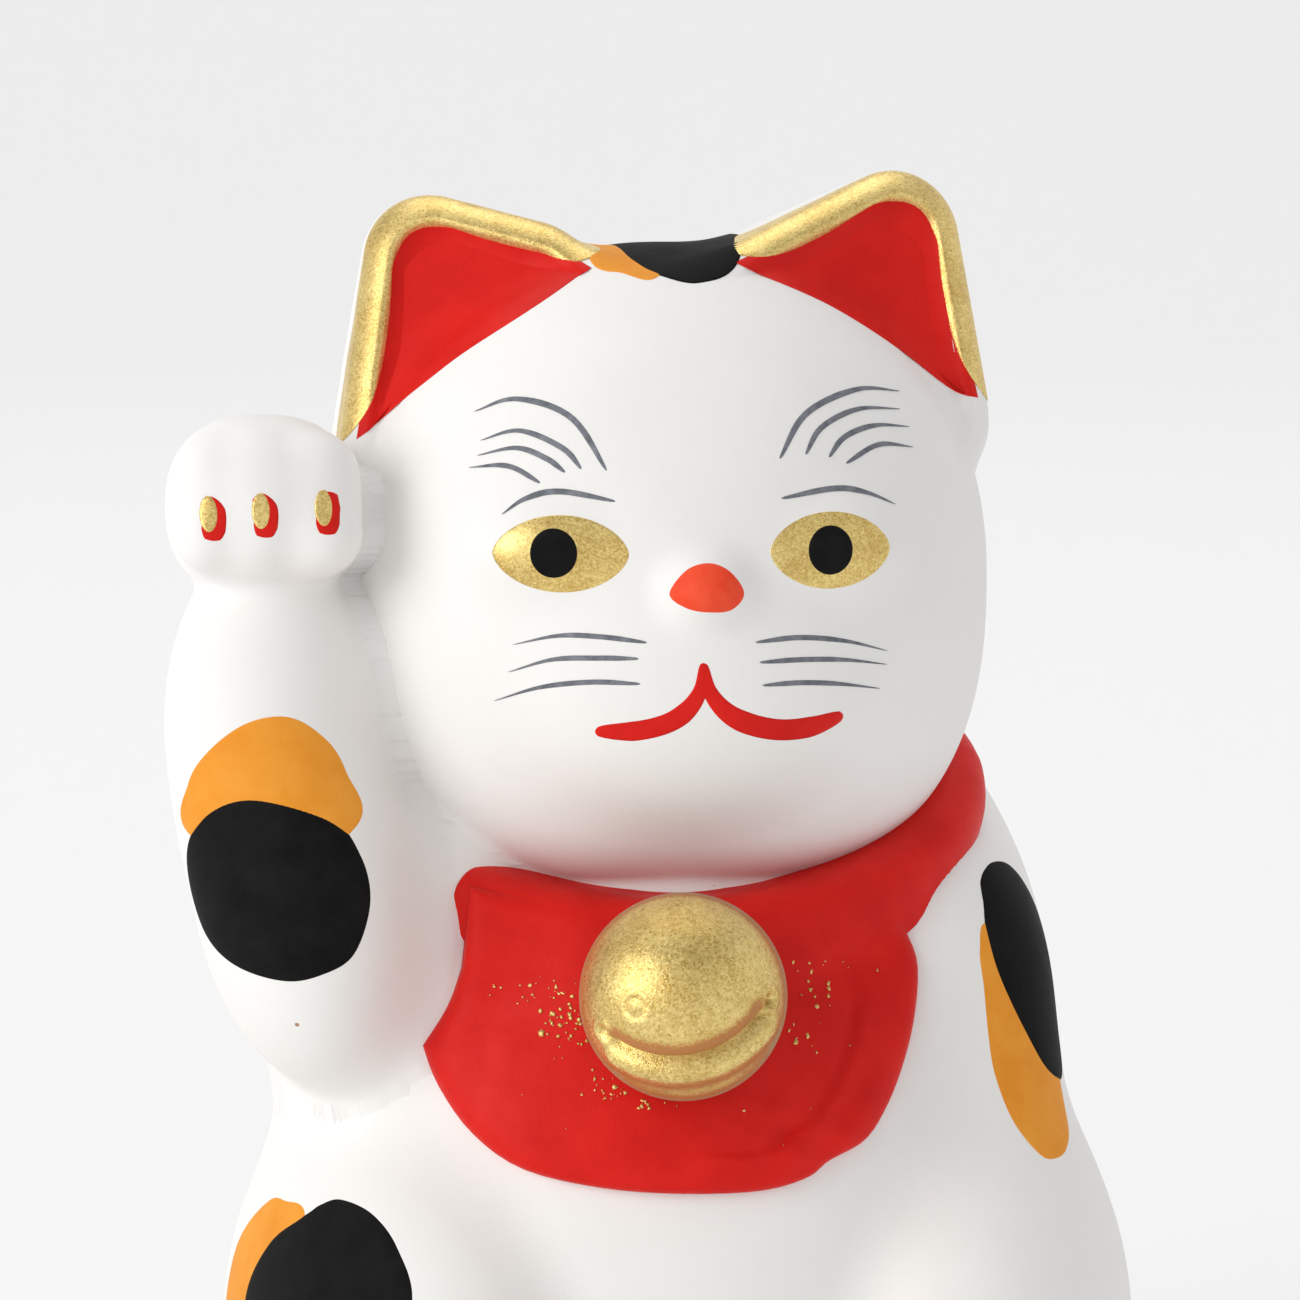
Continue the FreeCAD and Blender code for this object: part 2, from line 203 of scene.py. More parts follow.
ARM_FORWARD = -16.5                       # mm, its axis lies this far forward
ELBOW = ((-36.3, -17, 66.5), (11.0, 12.5, 19.0))
ELBOW_ROLL = -9                           # degrees
FOREARM = ((-40.0, -15.8, 83), (9.9, 10.0, 18))
PAW = ((-40.4, ARM_FORWARD, 104.2), (9.3, 9.8, 8.9))
TOES = ((-46.0, 3.0), (-41.0, 3.3), (-35.2, 3.7))     # places across and radii, mm
TOE_TOP, TOE_TIP = (-20.9, 107.5), (-22.9, 102.0)     # forward and up, mm
ARM_FILLET = 5.0                          # mm, where it meets the body


def arm(p):
    """Raised foreleg: elbow and forearm ovals, a squarish paw and three toes that
    curl over it, low and close together."""
    d = egg(p, *ELBOW, roll=ELBOW_ROLL)
    d = smin(d, egg(p, *FOREARM), 4.0)
    paw = egg(p, *PAW, n=2.4)
    for x, radius in TOES:
        toe = capsule(p, (x, *TOE_TOP), (x, *TOE_TIP), radius, radius + 0.2)
        paw = smin(paw, toe, 2.2)
    return smin(d, paw, 1.6)


def slope(field, p, span=0.12):
    """Outward unit normal of a field, from its change over a small span."""
    n = np.stack([field(p + step) - field(p - step) for step in np.eye(3) * span], -1)
    return n / np.maximum(np.linalg.norm(n, axis=-1, keepdims=True), 1e-9)


def leave(field, start, way, far, steps=36, halvings=13):
    """Distance along each ray at which it first leaves the field's inside, and far
    where it doesn't: even steps find the span, and halving closes in on the skin."""
    far = np.broadcast_to(np.asarray(far, float), start.shape[:-1])
    low, high = np.zeros(far.shape), far.copy()
    out = np.zeros(far.shape, bool)
    for number in range(1, steps + 1):
        t = far * number / steps
        first = ~out & (field(start + way * t[..., None]) > 0)
        low[first], high[first] = (t - far / steps)[first], t[first]
        out |= first
    for _ in range(halvings):
        middle = (low + high) / 2
        inside = field(start + way * middle[..., None]) < 0
        low = np.where(inside & out, middle, low)
        high = np.where(~inside & out, middle, high)
    return np.where(out, (low + high) / 2, far)


# ---------------------------------------------------------------- meshes
def patch(index):
    """Faces of a grid of vertex numbers: columns run round, rows run up. A quad
    with a repeated corner becomes a triangle."""
    a, b = index[:-1, :-1], index[1:, :-1]
    c, d = index[1:, 1:], index[:-1, 1:]
    quads = np.stack([a, b, c, d], -1).reshape(-1, 4)
    top, low = quads[:, 2] == quads[:, 3], quads[:, 0] == quads[:, 1]
    faces = quads[~top & ~low].tolist()
    faces += quads[top][:, :3].tolist()
    faces += quads[low][:, 1:].tolist()
    return faces


def closed_grid(points, poles=True, flip=False):
    """Vertices and faces of a grid that wraps round its columns. Its first and last
    rows are poles, or with poles False they meet each other."""
    columns, rows = points.shape[:2]
    if poles:
        number = np.arange(columns * (rows - 2)).reshape(columns, rows - 2)
        south, north = columns * (rows - 2), columns * (rows - 2) + 1
        number = np.hstack([np.full((columns, 1), south), number,
                            np.full((columns, 1), north)])
        verts = np.vstack([points[:, 1:-1].reshape(-1, 3), points[:, 0].mean(0),
                           points[:, -1].mean(0)])
    else:
        number = np.arange(columns * rows).reshape(columns, rows)
        number = np.hstack([number, number[:, :1]])
        verts = points.reshape(-1, 3)
    number = np.vstack([number, number[:1]])
    faces = patch(number[::-1] if flip else number)
    return verts, faces


def gather(parts):
    """One list of vertices and faces from several."""
    verts, faces, base = [], [], 0
    for points, polygons in parts:
        verts.append(points)
        faces += [[number + base for number in polygon] for polygon in polygons]
        base += len(points)
    return np.vstack(verts), faces


def make(name, shape, material, replaced=(), flat_from=None):
    """Mesh object from vertices and faces, riding on the doll. Faces from number
    flat_from on are flat."""
    verts, faces = shape
    mesh = bpy.data.meshes.new(name)
    mesh.from_pydata(verts * UNIT, [], faces)
    smooth = np.ones(len(faces), bool)
    if flat_from is not None:
        smooth[flat_from:] = False
    mesh.polygons.foreach_set("use_smooth", smooth)
    mesh.materials.append(material)
    piece = bpy.data.objects.new(name, mesh)
    bpy.context.collection.objects.link(piece)
    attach(piece, "root")
    if replaced:
        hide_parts(*replaced)
    return piece


# ---------------------------------------------------------------- materials
def shader(name, roughness, metallic=0.0, specular=0.5):
    """New material and its Principled shader, with plain numbers on its sockets."""
    material = bpy.data.materials.new(name)
    material.use_nodes = True
    bsdf = material.node_tree.nodes["Principled BSDF"]
    bsdf.inputs["Roughness"].default_value = roughness
    bsdf.inputs["Metallic"].default_value = metallic
    bsdf.inputs["Specular IOR Level"].default_value = specular
    return material, bsdf


def new_group(name, inputs, outputs):
    """Shader node group with named sockets: (name, kind, value)."""
    group = bpy.data.node_groups.new(name, "ShaderNodeTree")
    for word, kind, value in inputs:
        socket = group.interface.new_socket(word, in_out="INPUT", socket_type=kind)
        socket.default_value = value
    for word, kind in outputs:
        group.interface.new_socket(word, in_out="OUTPUT", socket_type=kind)
    return group, group.nodes.new("NodeGroupInput"), group.nodes.new("NodeGroupOutput")


def math(tree, operation, a, b=None, clamp=False):
    """Math node; a and b are numbers or sockets. Returns its output."""
    node = tree.nodes.new("ShaderNodeMath")
    node.operation = operation
    node.use_clamp = clamp
    for slot_number, value in enumerate((a, b)):
        if value is None:
            continue
        if isinstance(value, (int, float)):
            node.inputs[slot_number].default_value = value
        else:
            tree.links.new(value, node.inputs[slot_number])
    return node.outputs[0]


def noise(tree, vector, scale, detail=3.0, rough=0.55):
    """Noise texture; scale is a number or a socket. Returns its height output."""
    node = tree.nodes.new("ShaderNodeTexNoise")
    tree.links.new(vector, node.inputs["Vector"])
    if isinstance(scale, (int, float)):
        node.inputs["Scale"].default_value = scale
    else:
        tree.links.new(scale, node.inputs["Scale"])
    node.inputs["Detail"].default_value = detail
    node.inputs["Roughness"].default_value = rough
    return node.outputs["Fac"]


def ramp(tree, value, low, high):
    """Value mapped so that low gives 0 and high gives 1, held at both ends."""
    node = tree.nodes.new("ShaderNodeMapRange")
    tree.links.new(value, node.inputs["Value"])
    for word, number in (("From Min", low), ("From Max", high)):
        node.inputs[word].default_value = number
    return node.outputs["Result"]


def blend(tree, mask, first, second):
    """Colour mix; first and second are colours or sockets."""
    node = tree.nodes.new("ShaderNodeMix")
    node.data_type = "RGBA"
    tree.links.new(mask, node.inputs[0])
    for number, value in ((6, first), (7, second)):
        if isinstance(value, tuple):
            node.inputs[number].default_value = (*value, 1.0)
        else:
            tree.links.new(value, node.inputs[number])
    return node.outputs[2]


def bump(tree, bsdf, height, depth):
    """Bump of that depth in metres, into the shader's normal."""
    node = tree.nodes.new("ShaderNodeBump")
    node.inputs["Strength"].default_value = 1.0
    node.inputs["Distance"].default_value = depth
    tree.links.new(height, node.inputs["Height"])
    tree.links.new(node.outputs["Normal"], bsdf.inputs["Normal"])


def object_point(tree):
    """The piece's own coordinates, which stay put when it moves."""
    return tree.nodes.new("ShaderNodeTexCoord").outputs["Object"]


def hand_paint_group():
    """Effect shared by every painted finish: soft mottling of thin and thick paint,
    fine mineral grain, and specks of grit. Coordinates are metres."""
    group, given, result = new_group(
        "hand_paint",
        [("Point", "NodeSocketVector", (0, 0, 0)), ("Mottle size", "NodeSocketFloat", 120.0),
         ("Grain size", "NodeSocketFloat", 2600.0), ("Speck share", "NodeSocketFloat", 0.03)],
        [("Mottle", "NodeSocketFloat"), ("Grain", "NodeSocketFloat"),
         ("Speck", "NodeSocketFloat")])
    point = given.outputs["Point"]
    mottle = noise(group, point, given.outputs["Mottle size"], 4.0, 0.6)
    grain = noise(group, point, given.outputs["Grain size"], 2.0, 0.6)
    cell = group.nodes.new("ShaderNodeTexVoronoi")
    cell.feature = "F1"
    cell.inputs["Scale"].default_value = 420.0
    group.links.new(point, cell.inputs["Vector"])
    pick = group.nodes.new("ShaderNodeSeparateColor")
    group.links.new(cell.outputs["Color"], pick.inputs["Color"])
    chosen = math(group, "LESS_THAN", pick.outputs[0], given.outputs["Speck share"])
    near = math(group, "LESS_THAN", cell.outputs["Distance"],
                math(group, "MULTIPLY", pick.outputs[1], 0.11))
    group.links.new(ramp(group, mottle, 0.3, 0.7), result.inputs["Mottle"])
    group.links.new(grain, result.inputs["Grain"])
    group.links.new(math(group, "MULTIPLY", chosen, near), result.inputs["Speck"])
    return group


def gold_flake_group():
    """Effect shared by the gold paints: flat flakes, each tipped its own way and of
    its own shade, laid over each other at two sizes. Coordinates are metres."""
    group, given, result = new_group(
        "gold_flake",
        [("Point", "NodeSocketVector", (0, 0, 0)), ("Flake size", "NodeSocketFloat", 3200.0)],
        [("Shade", "NodeSocketFloat"), ("Height", "NodeSocketFloat")])
    shades, heights = [], []
    for factor in (1.0, 2.3):
        cell = group.nodes.new("ShaderNodeTexVoronoi")
        cell.feature = "F1"
        group.links.new(given.outputs["Point"], cell.inputs["Vector"])
        group.links.new(math(group, "MULTIPLY", given.outputs["Flake size"], factor),
                        cell.inputs["Scale"])
        pick = group.nodes.new("ShaderNodeSeparateColor")
        group.links.new(cell.outputs["Color"], pick.inputs["Color"])
        shades.append(pick.outputs[0])
        heights.append(math(group, "MULTIPLY", cell.outputs["Distance"],
                            math(group, "SUBTRACT", pick.outputs[1], 0.5)))
    group.links.new(math(group, "MULTIPLY", math(group, "ADD", *shades), 0.5),
                    result.inputs["Shade"])
    group.links.new(math(group, "ADD", *heights), result.inputs["Height"])
    return group


HAND_PAINT = hand_paint_group()
GOLD_FLAKE = gold_flake_group()


def place_group(tree, group, **values):
    """Puts a group into a material on Object coordinates, with its own values."""
    node = tree.nodes.new("ShaderNodeGroup")
    node.node_tree = group
    tree.links.new(object_point(tree), node.inputs["Point"])
    for word, value in values.items():
        node.inputs[word.replace("_", " ")].default_value = value
    return node.outputs


def matte_paint(name, colour, thin, speck=None, roughness=0.6, specular=0.4,
                mottle=120.0, share=0.03, grain=0.00003, thinness=1.0):
    """Matte hand-laid paint: colour mottled towards its thin shade, with grit."""
    material, bsdf = shader(name, roughness, specular=specular)
    tree = material.node_tree
    paint = place_group(tree, HAND_PAINT, Mottle_size=mottle, Speck_share=share)
    shade = math(tree, "MULTIPLY", paint["Mottle"], thinness)
    base = blend(tree, shade, colour, thin)
    if speck:
        base = blend(tree, paint["Speck"], base, speck)
    tree.links.new(base, bsdf.inputs["Base Color"])
    tree.links.new(math(tree, "ADD", math(tree, "MULTIPLY", paint["Mottle"], 0.12),
                        roughness - 0.06), bsdf.inputs["Roughness"])
    bump(tree, bsdf, paint["Grain"], grain)
    return material


def gold_paint(name, dark=(0.60, 0.39, 0.10), bright=(0.98, 0.78, 0.32), roughness=0.34,
               depth=0.00004, flake_size=5200.0, with_painted_shade=False):
    """Gold powder paint: bright and dark flakes. With the flag set, the piece's own
    attribute paints shade and reflection on it in brown and tan, where the gold is thin over
    its base colour."""
    material, bsdf = shader(name, roughness, metallic=0.95)
    tree = material.node_tree
    flake = place_group(tree, GOLD_FLAKE, Flake_size=flake_size)
    paint = place_group(tree, HAND_PAINT, Mottle_size=230.0)
    tone = math(tree, "ADD", math(tree, "MULTIPLY", flake["Shade"], 0.7),
                math(tree, "MULTIPLY", paint["Mottle"], 0.3))
    colour = blend(tree, ramp(tree, tone, 0.2, 0.8), dark, bright)
    rough = math(tree, "ADD", math(tree, "MULTIPLY", flake["Shade"], 0.2), roughness - 0.1)
    # Painted shade and reflection: where the piece's attribute is high, the gold turns
    # orange-brown along the bell's slot and tan round its rim, with less metal and more
    # roughness; the thin gold there also shows its base colour.
    if with_painted_shade:
        given = tree.nodes.new("ShaderNodeAttribute")
        given.attribute_name = "painted_shade"
        edge = math(tree, "ADD", given.outputs["Fac"],
                    math(tree, "MULTIPLY", math(tree, "SUBTRACT", flake["Shade"], 0.5), 0.8))
        shade_and_base_mask = ramp(tree, edge, 0.35, 0.75)
        colour = blend(tree, shade_and_base_mask, colour, blend(
            tree, ramp(tree, edge, 1.1, 1.6), (0.56, 0.22, 0.06), (0.48, 0.32, 0.18)))
        tree.links.new(math(tree, "SUBTRACT", 0.95, math(tree, "MULTIPLY", shade_and_base_mask, 0.65)),
                       bsdf.inputs["Metallic"])
        rough = math(tree, "ADD", rough, math(tree, "MULTIPLY", shade_and_base_mask, 0.15))
    tree.links.new(colour, bsdf.inputs["Base Color"])
    tree.links.new(rough, bsdf.inputs["Roughness"])
    bump(tree, bsdf, flake["Height"], depth)
    return material


WHITE = matte_paint("shell_white", (0.84, 0.828, 0.808), (0.87, 0.858, 0.84),
                    speck=(0.42, 0.25, 0.14), roughness=0.62, specular=0.22,
                    mottle=60.0, share=0.006, grain=0.00002)
RED = matte_paint("vermilion_lacquer_red", (0.72, 0.014, 0.009), (0.60, 0.009, 0.006),
                  roughness=0.5, specular=0.14, mottle=150.0, share=0.02)
BLACK = matte_paint("ink_black", (0.005, 0.005, 0.005), (0.011, 0.011, 0.011),
                    roughness=0.62, specular=0.06, mottle=260.0)
ORANGE = matte_paint("ochre_orange", (0.78, 0.28, 0.022), (0.85, 0.35, 0.045),
                     roughness=0.6, specular=0.12, mottle=200.0)
GREY = matte_paint("brush_grey", (0.11, 0.12, 0.14), (0.24, 0.25, 0.28),
                   roughness=0.6, specular=0.15, mottle=900.0)
NOSE = matte_paint("nose_vermilion", (0.84, 0.055, 0.018), (0.88, 0.10, 0.04),
                   roughness=0.55, specular=0.15, mottle=400.0)
CLAY = matte_paint("bare_clay", (0.55, 0.36, 0.25), (0.63, 0.45, 0.33),
                   speck=(0.25, 0.15, 0.1), roughness=0.85, specular=0.2, share=0.08,
                   grain=0.00008)
GOLD = gold_paint("gold_powder")
# The bell's gold takes painted shade and reflection, brown and tan, from an attribute on the
# ball.
BELL_GOLD = gold_paint("bell_gold", roughness=0.33, depth=0.00007, flake_size=3900.0,
                       with_painted_shade=True)

# ---------------------------------------------------------------- the two shells
WALL = 4.0                                # mm of pressed clay
PARTING = 5.0                             # mm behind the middle
COLUMNS, ROWS, COARSE = 240, 330, 10
LEVELS = (0.0, 0.36, 0.46, 1.0)           # shares of the rows: trunk, neck, head
RAY_HEIGHTS = (0.0, 46.0, 88.0, 95.0)     # mm, where rays start at those shares
RAY_TIPS = (0.0, 0.0, -36.0, 90.0)        # degrees that they point up
BODY_REACH = 62.0                         # mm, longer than any ray inside the clay
UNDER = 0.12                              # mm that a stuck-on piece's skirt lies below skin


def body_rays(columns, rows):
    """Rays for angles round the doll (degrees from its front) and shares of the way
    up: level rays for the trunk, and rays that fan out from inside the head."""
    around, up = np.meshgrid(np.radians(columns), rows, indexing="ij")
    height = np.interp(up, LEVELS, RAY_HEIGHTS)
    tip = np.radians(np.interp(up, LEVELS, RAY_TIPS))
    start = np.stack([0 * up, 0 * up + PARTING, height], -1)
    way = np.stack([np.sin(around) * np.cos(tip), -np.cos(around) * np.cos(tip),
                    np.sin(tip)], -1)
    return start, way


def shell_half(first, last):
    """One mould half as a closed wall: the skin between two angles, an inner wall on
    a coarser grid, and flat rims at the parting plane and the base."""
    start, way = body_rays(np.linspace(first, last, COLUMNS + 1),
                           np.linspace(0.0, 1.0, ROWS + 1))
    far = leave(body, start, way, BODY_REACH)
    skin = start + way * far[..., None]
    inner = (slice(None, None, COARSE), slice(None, None, COARSE))
    facing = np.abs((slope(body, skin[inner]) * way[inner]).sum(-1))
    depth = WALL / np.maximum(facing, 0.5)
    lining = start[inner] + way[inner] * (far[inner] - depth)[..., None]
    sides, verts, base = [], [], 0
    for points in (skin, lining):
        columns, rows = points.shape[0], points.shape[1] - 1
        number = base + np.arange(columns * rows).reshape(columns, rows)
        base += columns * rows + 1
        sides.append(np.hstack([number, np.full((columns, 1), base - 1)]))
        verts += [points[:, :-1].reshape(-1, 3), points[:1, -1]]
    outer, lined = sides
    faces = patch(outer) + patch(lined[::-1])
    flat_from = len(faces)
    for a in range(lined.shape[0] - 1):
        run = outer[a * COARSE:(a + 1) * COARSE + 1, 0]
        faces.append([lined[a, 0], lined[a + 1, 0], *run[::-1]])
    for b in range(lined.shape[1] - 1):
        run = slice(b * COARSE, (b + 1) * COARSE + 1)
        faces.append([*outer[0, run], lined[0, b + 1], lined[0, b]])
        faces.append([lined[-1, b], lined[-1, b + 1], *outer[-1, run][::-1]])
    faces = [[int(n) for n in face] for face in faces]
    return (np.vstack(verts), faces), flat_from, lining


front, front_flat, front_lining = shell_half(-90.0, 90.0)
make("front_shell_skin", front, WHITE, ["front_shell"], front_flat)
back, back_flat, back_lining = shell_half(90.0, 270.0)
make("back_shell_skin", back, WHITE, ["back_shell"], back_flat)


# ---------------------------------------------------------------- ears
EAR_FLAT = 0.4                            # share of the front, and of the back, that is flat
EAR_INSET = 3.4                           # mm inside the rim, where rays turn over the edge


def ear_rim(side, around):
    """The ear's middle, the way out from it at angles about it, and how far its
    outline is that way, drawn on the doll's right."""
    out = np.stack([np.sin(around), 0 * around, np.cos(around)], -1)
    middle = np.array([EAR_CENTRE[0], 0.0, EAR_CENTRE[1]])
    far = leave(lambda p: polygon(p[..., 0], p[..., 2], EAR_CORNERS[side]) - EAR_ROUND,
                middle + 0 * out, out, 40.0)
    return middle, out, far


def ear_points(side, around, share, field):
    """Points on an ear for angles about its middle and shares from the middle of its
    front (0), over the rounded edge (0.5), to the middle of its back (1). Rays start
    on the ear's middle plane and turn over the edge."""
    middle, out, rim = ear_rim(side, around)
    spread = np.clip(np.minimum(share, 1.0 - share) / EAR_FLAT, 0.0, 1.0)
    start = middle + out * ((rim - EAR_INSET) * spread)[..., None]
    start[..., 1] = ((EAR_FRONT + EAR_BACK) / 2
                     + (EAR_LEAN - EAR_TAPER) / 2 * (start[..., 2] - EAR_MIDDLE[1])
                     + EAR_TURN / 2 * (start[..., 0] - EAR_MIDDLE[0]))
    turn = np.radians(np.interp(share, (EAR_FLAT, 1.0 - EAR_FLAT), (-90.0, 90.0)))
    way = out * np.cos(turn)[..., None] + np.array([0, 1.0, 0]) * np.sin(turn)[..., None]
    start[..., 0] *= side
    way[..., 0] *= side
    start[..., 2] += EAR_SKEW * side
    far = 6.0 + 18.0 * np.maximum(-way[..., 1], 0.0) ** 4
    return start + way * leave(field, start, way, far)[..., None]


def ear_field(side):
    """Ear with a soft fillet onto the head, which ends just under the head's skin."""
    return lambda p: smin(ear(p, side), body(p) + UNDER, EAR_FILLET)


def whole_ears(p):
    """Body with both ears."""
    return np.minimum(*(smin(ear(p, side), body(p), EAR_FILLET) for side in (1, -1)))


for side, name in ((1, "right_ear"), (-1, "left_ear")):
    around, share = np.meshgrid(np.linspace(0, 2 * np.pi, 241)[:-1],
                                np.linspace(0.0, 1.0, 151), indexing="ij")
    grid = ear_points(side, around, share, ear_field(side))
    make(name, closed_grid(grid, flip=side < 0), WHITE)


# ---------------------------------------------------------------- raised foreleg
ARM_LEVELS = (0.0, 0.14, 0.84, 1.0)       # shares of the rows: pole, shaft, pole
ARM_ENDS = (59.0, 104.5)                  # mm, heights of the two poles' middles
ARM_REACH = 26.0                          # mm


def arm_axis(height):
    """Middle of the raised foreleg at each height."""
    x = np.interp(height, (48, 60, 75, 90, 112), (-33.4, -35.4, -38.4, -40.2, -40.4))
    return np.stack([x, 0 * x + ARM_FORWARD, height], -1)


def arm_field(p):
    """Raised foreleg with its fillet onto the body, which ends just under the skin."""
    return smin(arm(p), body(p) + UNDER, ARM_FILLET)


def arm_rays(columns, rows):
    """Level rays round the foreleg's axis, fanning to a pole at either end."""
    around, up = np.meshgrid(np.linspace(0, 2 * np.pi, columns + 1)[:-1],
                             np.linspace(0, 1, rows), indexing="ij")
    start = arm_axis(np.interp(up, ARM_LEVELS, (*ARM_ENDS[:1] * 2, *ARM_ENDS[1:] * 2)))
    tip = np.radians(np.interp(up, ARM_LEVELS, (-90.0, 0.0, 0.0, 90.0)))
    way = np.stack([np.sin(around) * np.cos(tip), -np.cos(around) * np.cos(tip),
                    np.sin(tip)], -1)
    return start, way


start, way = arm_rays(240, 260)
grid = start + way * leave(arm_field, start, way, ARM_REACH)[..., None]
make("raised_foreleg", closed_grid(grid), WHITE, ["beckoning_arm"])


def whole_cat(p):
    """Body with both ears and the raised foreleg."""
    return smin(whole_ears(p), arm(p), ARM_FILLET)


# ---------------------------------------------------------------- base slab
VENT = np.array([0.0, 16.0, 0.0])         # mm, middle of the vent hole
VENT_RADIUS = 4.5


def slab():
    """Slab inside the shell's foot, with a vent hole: a closed ring whose section
    runs from the lining, under the slab, up the hole and back over the top."""
    low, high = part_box("base_slab")
    thick = (high[2] - low[2]) / UNIT
    lining = np.vstack([front_lining[:-1, 0], back_lining[:-1, 0]])
    lining = lining * [1, 1, 0]
    away = lining - VENT
    rim = VENT + away / np.linalg.norm(away, axis=1, keepdims=True) * VENT_RADIUS
    rows = [(0.995, thick), (0.995, 0.6), (0.985, 0.0), (0.6, 0.0), (0.3, 0.0),
            (0.03, 0.0), (0.0, 0.6), (0.0, thick - 0.5), (0.02, thick), (0.5, thick)]
    points = np.stack([rim + (lining - rim) * share + [0, 0, height]
                       for share, height in rows], 1)
    return closed_grid(points, poles=False)


make("base_slab_clay", slab(), CLAY, ["base_slab"])


# ---------------------------------------------------------------- outlines and casting
def spline(points, count, closed=False):
    """Smooth curve through a few points: a cubic between each pair, whose slopes come
    from the points on either side."""
    p = np.array(points, float)
    if closed:
        p = np.vstack([p[-1], p, p[:2]])
    else:
        p = np.vstack([2 * p[0] - p[1], p, 2 * p[-1] - p[-2]])
    spans = len(p) - 3
    place = np.linspace(0, spans, count, endpoint=not closed)
    first = np.minimum(place.astype(int), spans - 1)
    t = (place - first)[:, None]
    a, b, c, d = (p[first + step] for step in range(4))
    return 0.5 * (2 * b + (c - a) * t + (2 * a - 5 * b + 4 * c - d) * t ** 2
                  + (3 * b - a - 3 * c + d) * t ** 3)


def outline(stretches, count):
    """Closed outline from smooth stretches that meet at corners."""
    parts = [spline(stretch, count)[:-1] for stretch in stretches]
    return np.vstack(parts)


class Board:
    """Flat drawing board that faces a direction. Points drawn on it, in mm across and
    up, are cast onto the doll; up runs along Z unless the board faces up. Rays start
    far mm out from the doll's axis and run for reach mm."""

    def __init__(self, facing, far=48.0, reach=60.0):
        self.out = np.array(facing, float) / np.linalg.norm(facing)
        level = abs(self.out[2]) < 0.9
        across = (-self.out[1], self.out[0], 0.0) if level else (1.0, 0.0, 0.0)
        self.across = np.array(across) / np.linalg.norm(across)
        self.up = np.cross(self.out, self.across)
        self.far, self.reach = far, reach

    def cast(self, field, drawn, lift):
        """Points under the drawn ones where the field has the value lift, which is
        about that many mm above its skin."""
        start = (drawn[..., :1] * self.across + drawn[..., 1:] * self.up
                 + self.out * self.far)
        way = -self.out + 0 * start
        return start + way * leave(lambda p: lift - field(p), start, way, self.reach,
                                   steps=40)[..., None]


FACE = Board((0, -1, 0))
PAINT = 0.07                              # mm that a coat of paint stands proud
SINK = -0.25                              # mm that its underside lies in the clay


def coat(board, field, edge, rings=14, lift=PAINT, centre=None):
    """Area of paint inside a drawn outline: rings shrink from the outline to its
    centre, over a top that rounds off at its edge, and back underneath."""
    edge = np.asarray(edge, float)
    centre = edge.mean(0) if centre is None else np.array(centre, float)
    share = np.hstack([np.sin(np.linspace(0, np.pi / 2, rings)), 1.0, 0.5, 0.0])
    drawn = centre + (edge - centre)[:, None] * share[None, :, None]
    top = share[None, :rings] + 0 * drawn[:, :rings, 0]
    height = lift * np.sqrt(np.clip(1.0 - top ** 12, 0.0, 1.0))
    under = np.full((len(edge), 3), SINK)
    under[:, 0] = SINK * 0.6
    grid = board.cast(field, drawn, np.hstack([height, under]))
    turning = np.cross(edge - centre, np.roll(edge, -1, 0) - centre).sum()
    return closed_grid(grid, flip=turning > 0)


def stroke(board, field, points, width, ends=(0.1, 0.5), lift=PAINT, count=26):
    """Brush stroke along a drawn curve. Its half-width swells from the first end's
    share of the full one to it, and rounds off at both ends."""
    line = spline(points, count)
    along = np.linspace(0, 1, count)
    way = np.gradient(line, axis=0)
    way /= np.linalg.norm(way, axis=1, keepdims=True)
    side = np.stack([-way[:, 1], way[:, 0]], -1)
    swell = np.interp(along, (0, 0.45, 0.8, 1), (ends[0], 1.0, 1.0, ends[1]))
    round_off = np.sqrt(np.clip(1 - np.abs(2 * along - 1) ** 14, 0, 1))
    half = width / 2 * swell * round_off
    turn = np.linspace(0, 2 * np.pi, 13)[:-1]
    drawn = line[None] + side[None] * (half * np.cos(turn)[:, None])[..., None]
    height = np.where(np.sin(turn) > 0, lift * np.sqrt(np.abs(np.sin(turn))),
                      SINK * np.abs(np.sin(turn)))
    grid = board.cast(field, drawn, height[:, None] + 0 * half)
    return closed_grid(grid, flip=True)


# ---------------------------------------------------------------- the face
def ring(centre, semi, count=72):
    """Oval outline with those semi-axes."""
    turn = np.linspace(0, 2 * np.pi, count + 1)[:-1]
    return np.stack([centre[0] + semi[0] * np.sin(turn),
                     centre[1] + semi[1] * np.cos(turn)], -1)


def almond(middle, semi, tip=1.2):
    """Eye outline: an oval whose sides are drawn out to soft points."""
    turn = np.linspace(0, 2 * np.pi, 97)[:-1]
    across, up = np.cos(turn), np.sin(turn)
    return np.stack([middle[0] + semi[0] * across,
                     middle[1] + semi[1] * np.sign(up) * np.abs(up) ** tip], -1)


left_eye = almond((-13.35, 100.7), (6.3, 3.65))
right_eye = almond((12.5, 100.75), (6.05, 3.65))
make("left_eye", coat(FACE, head, left_eye), GOLD)
make("right_eye", coat(FACE, head, right_eye), GOLD)
for name, x in (("left_pupil", -14.1), ("right_pupil", 12.4)):
    make(name, coat(FACE, head, ring((x, 100.8), (2.25, 2.4)), lift=2 * PAINT), BLACK)

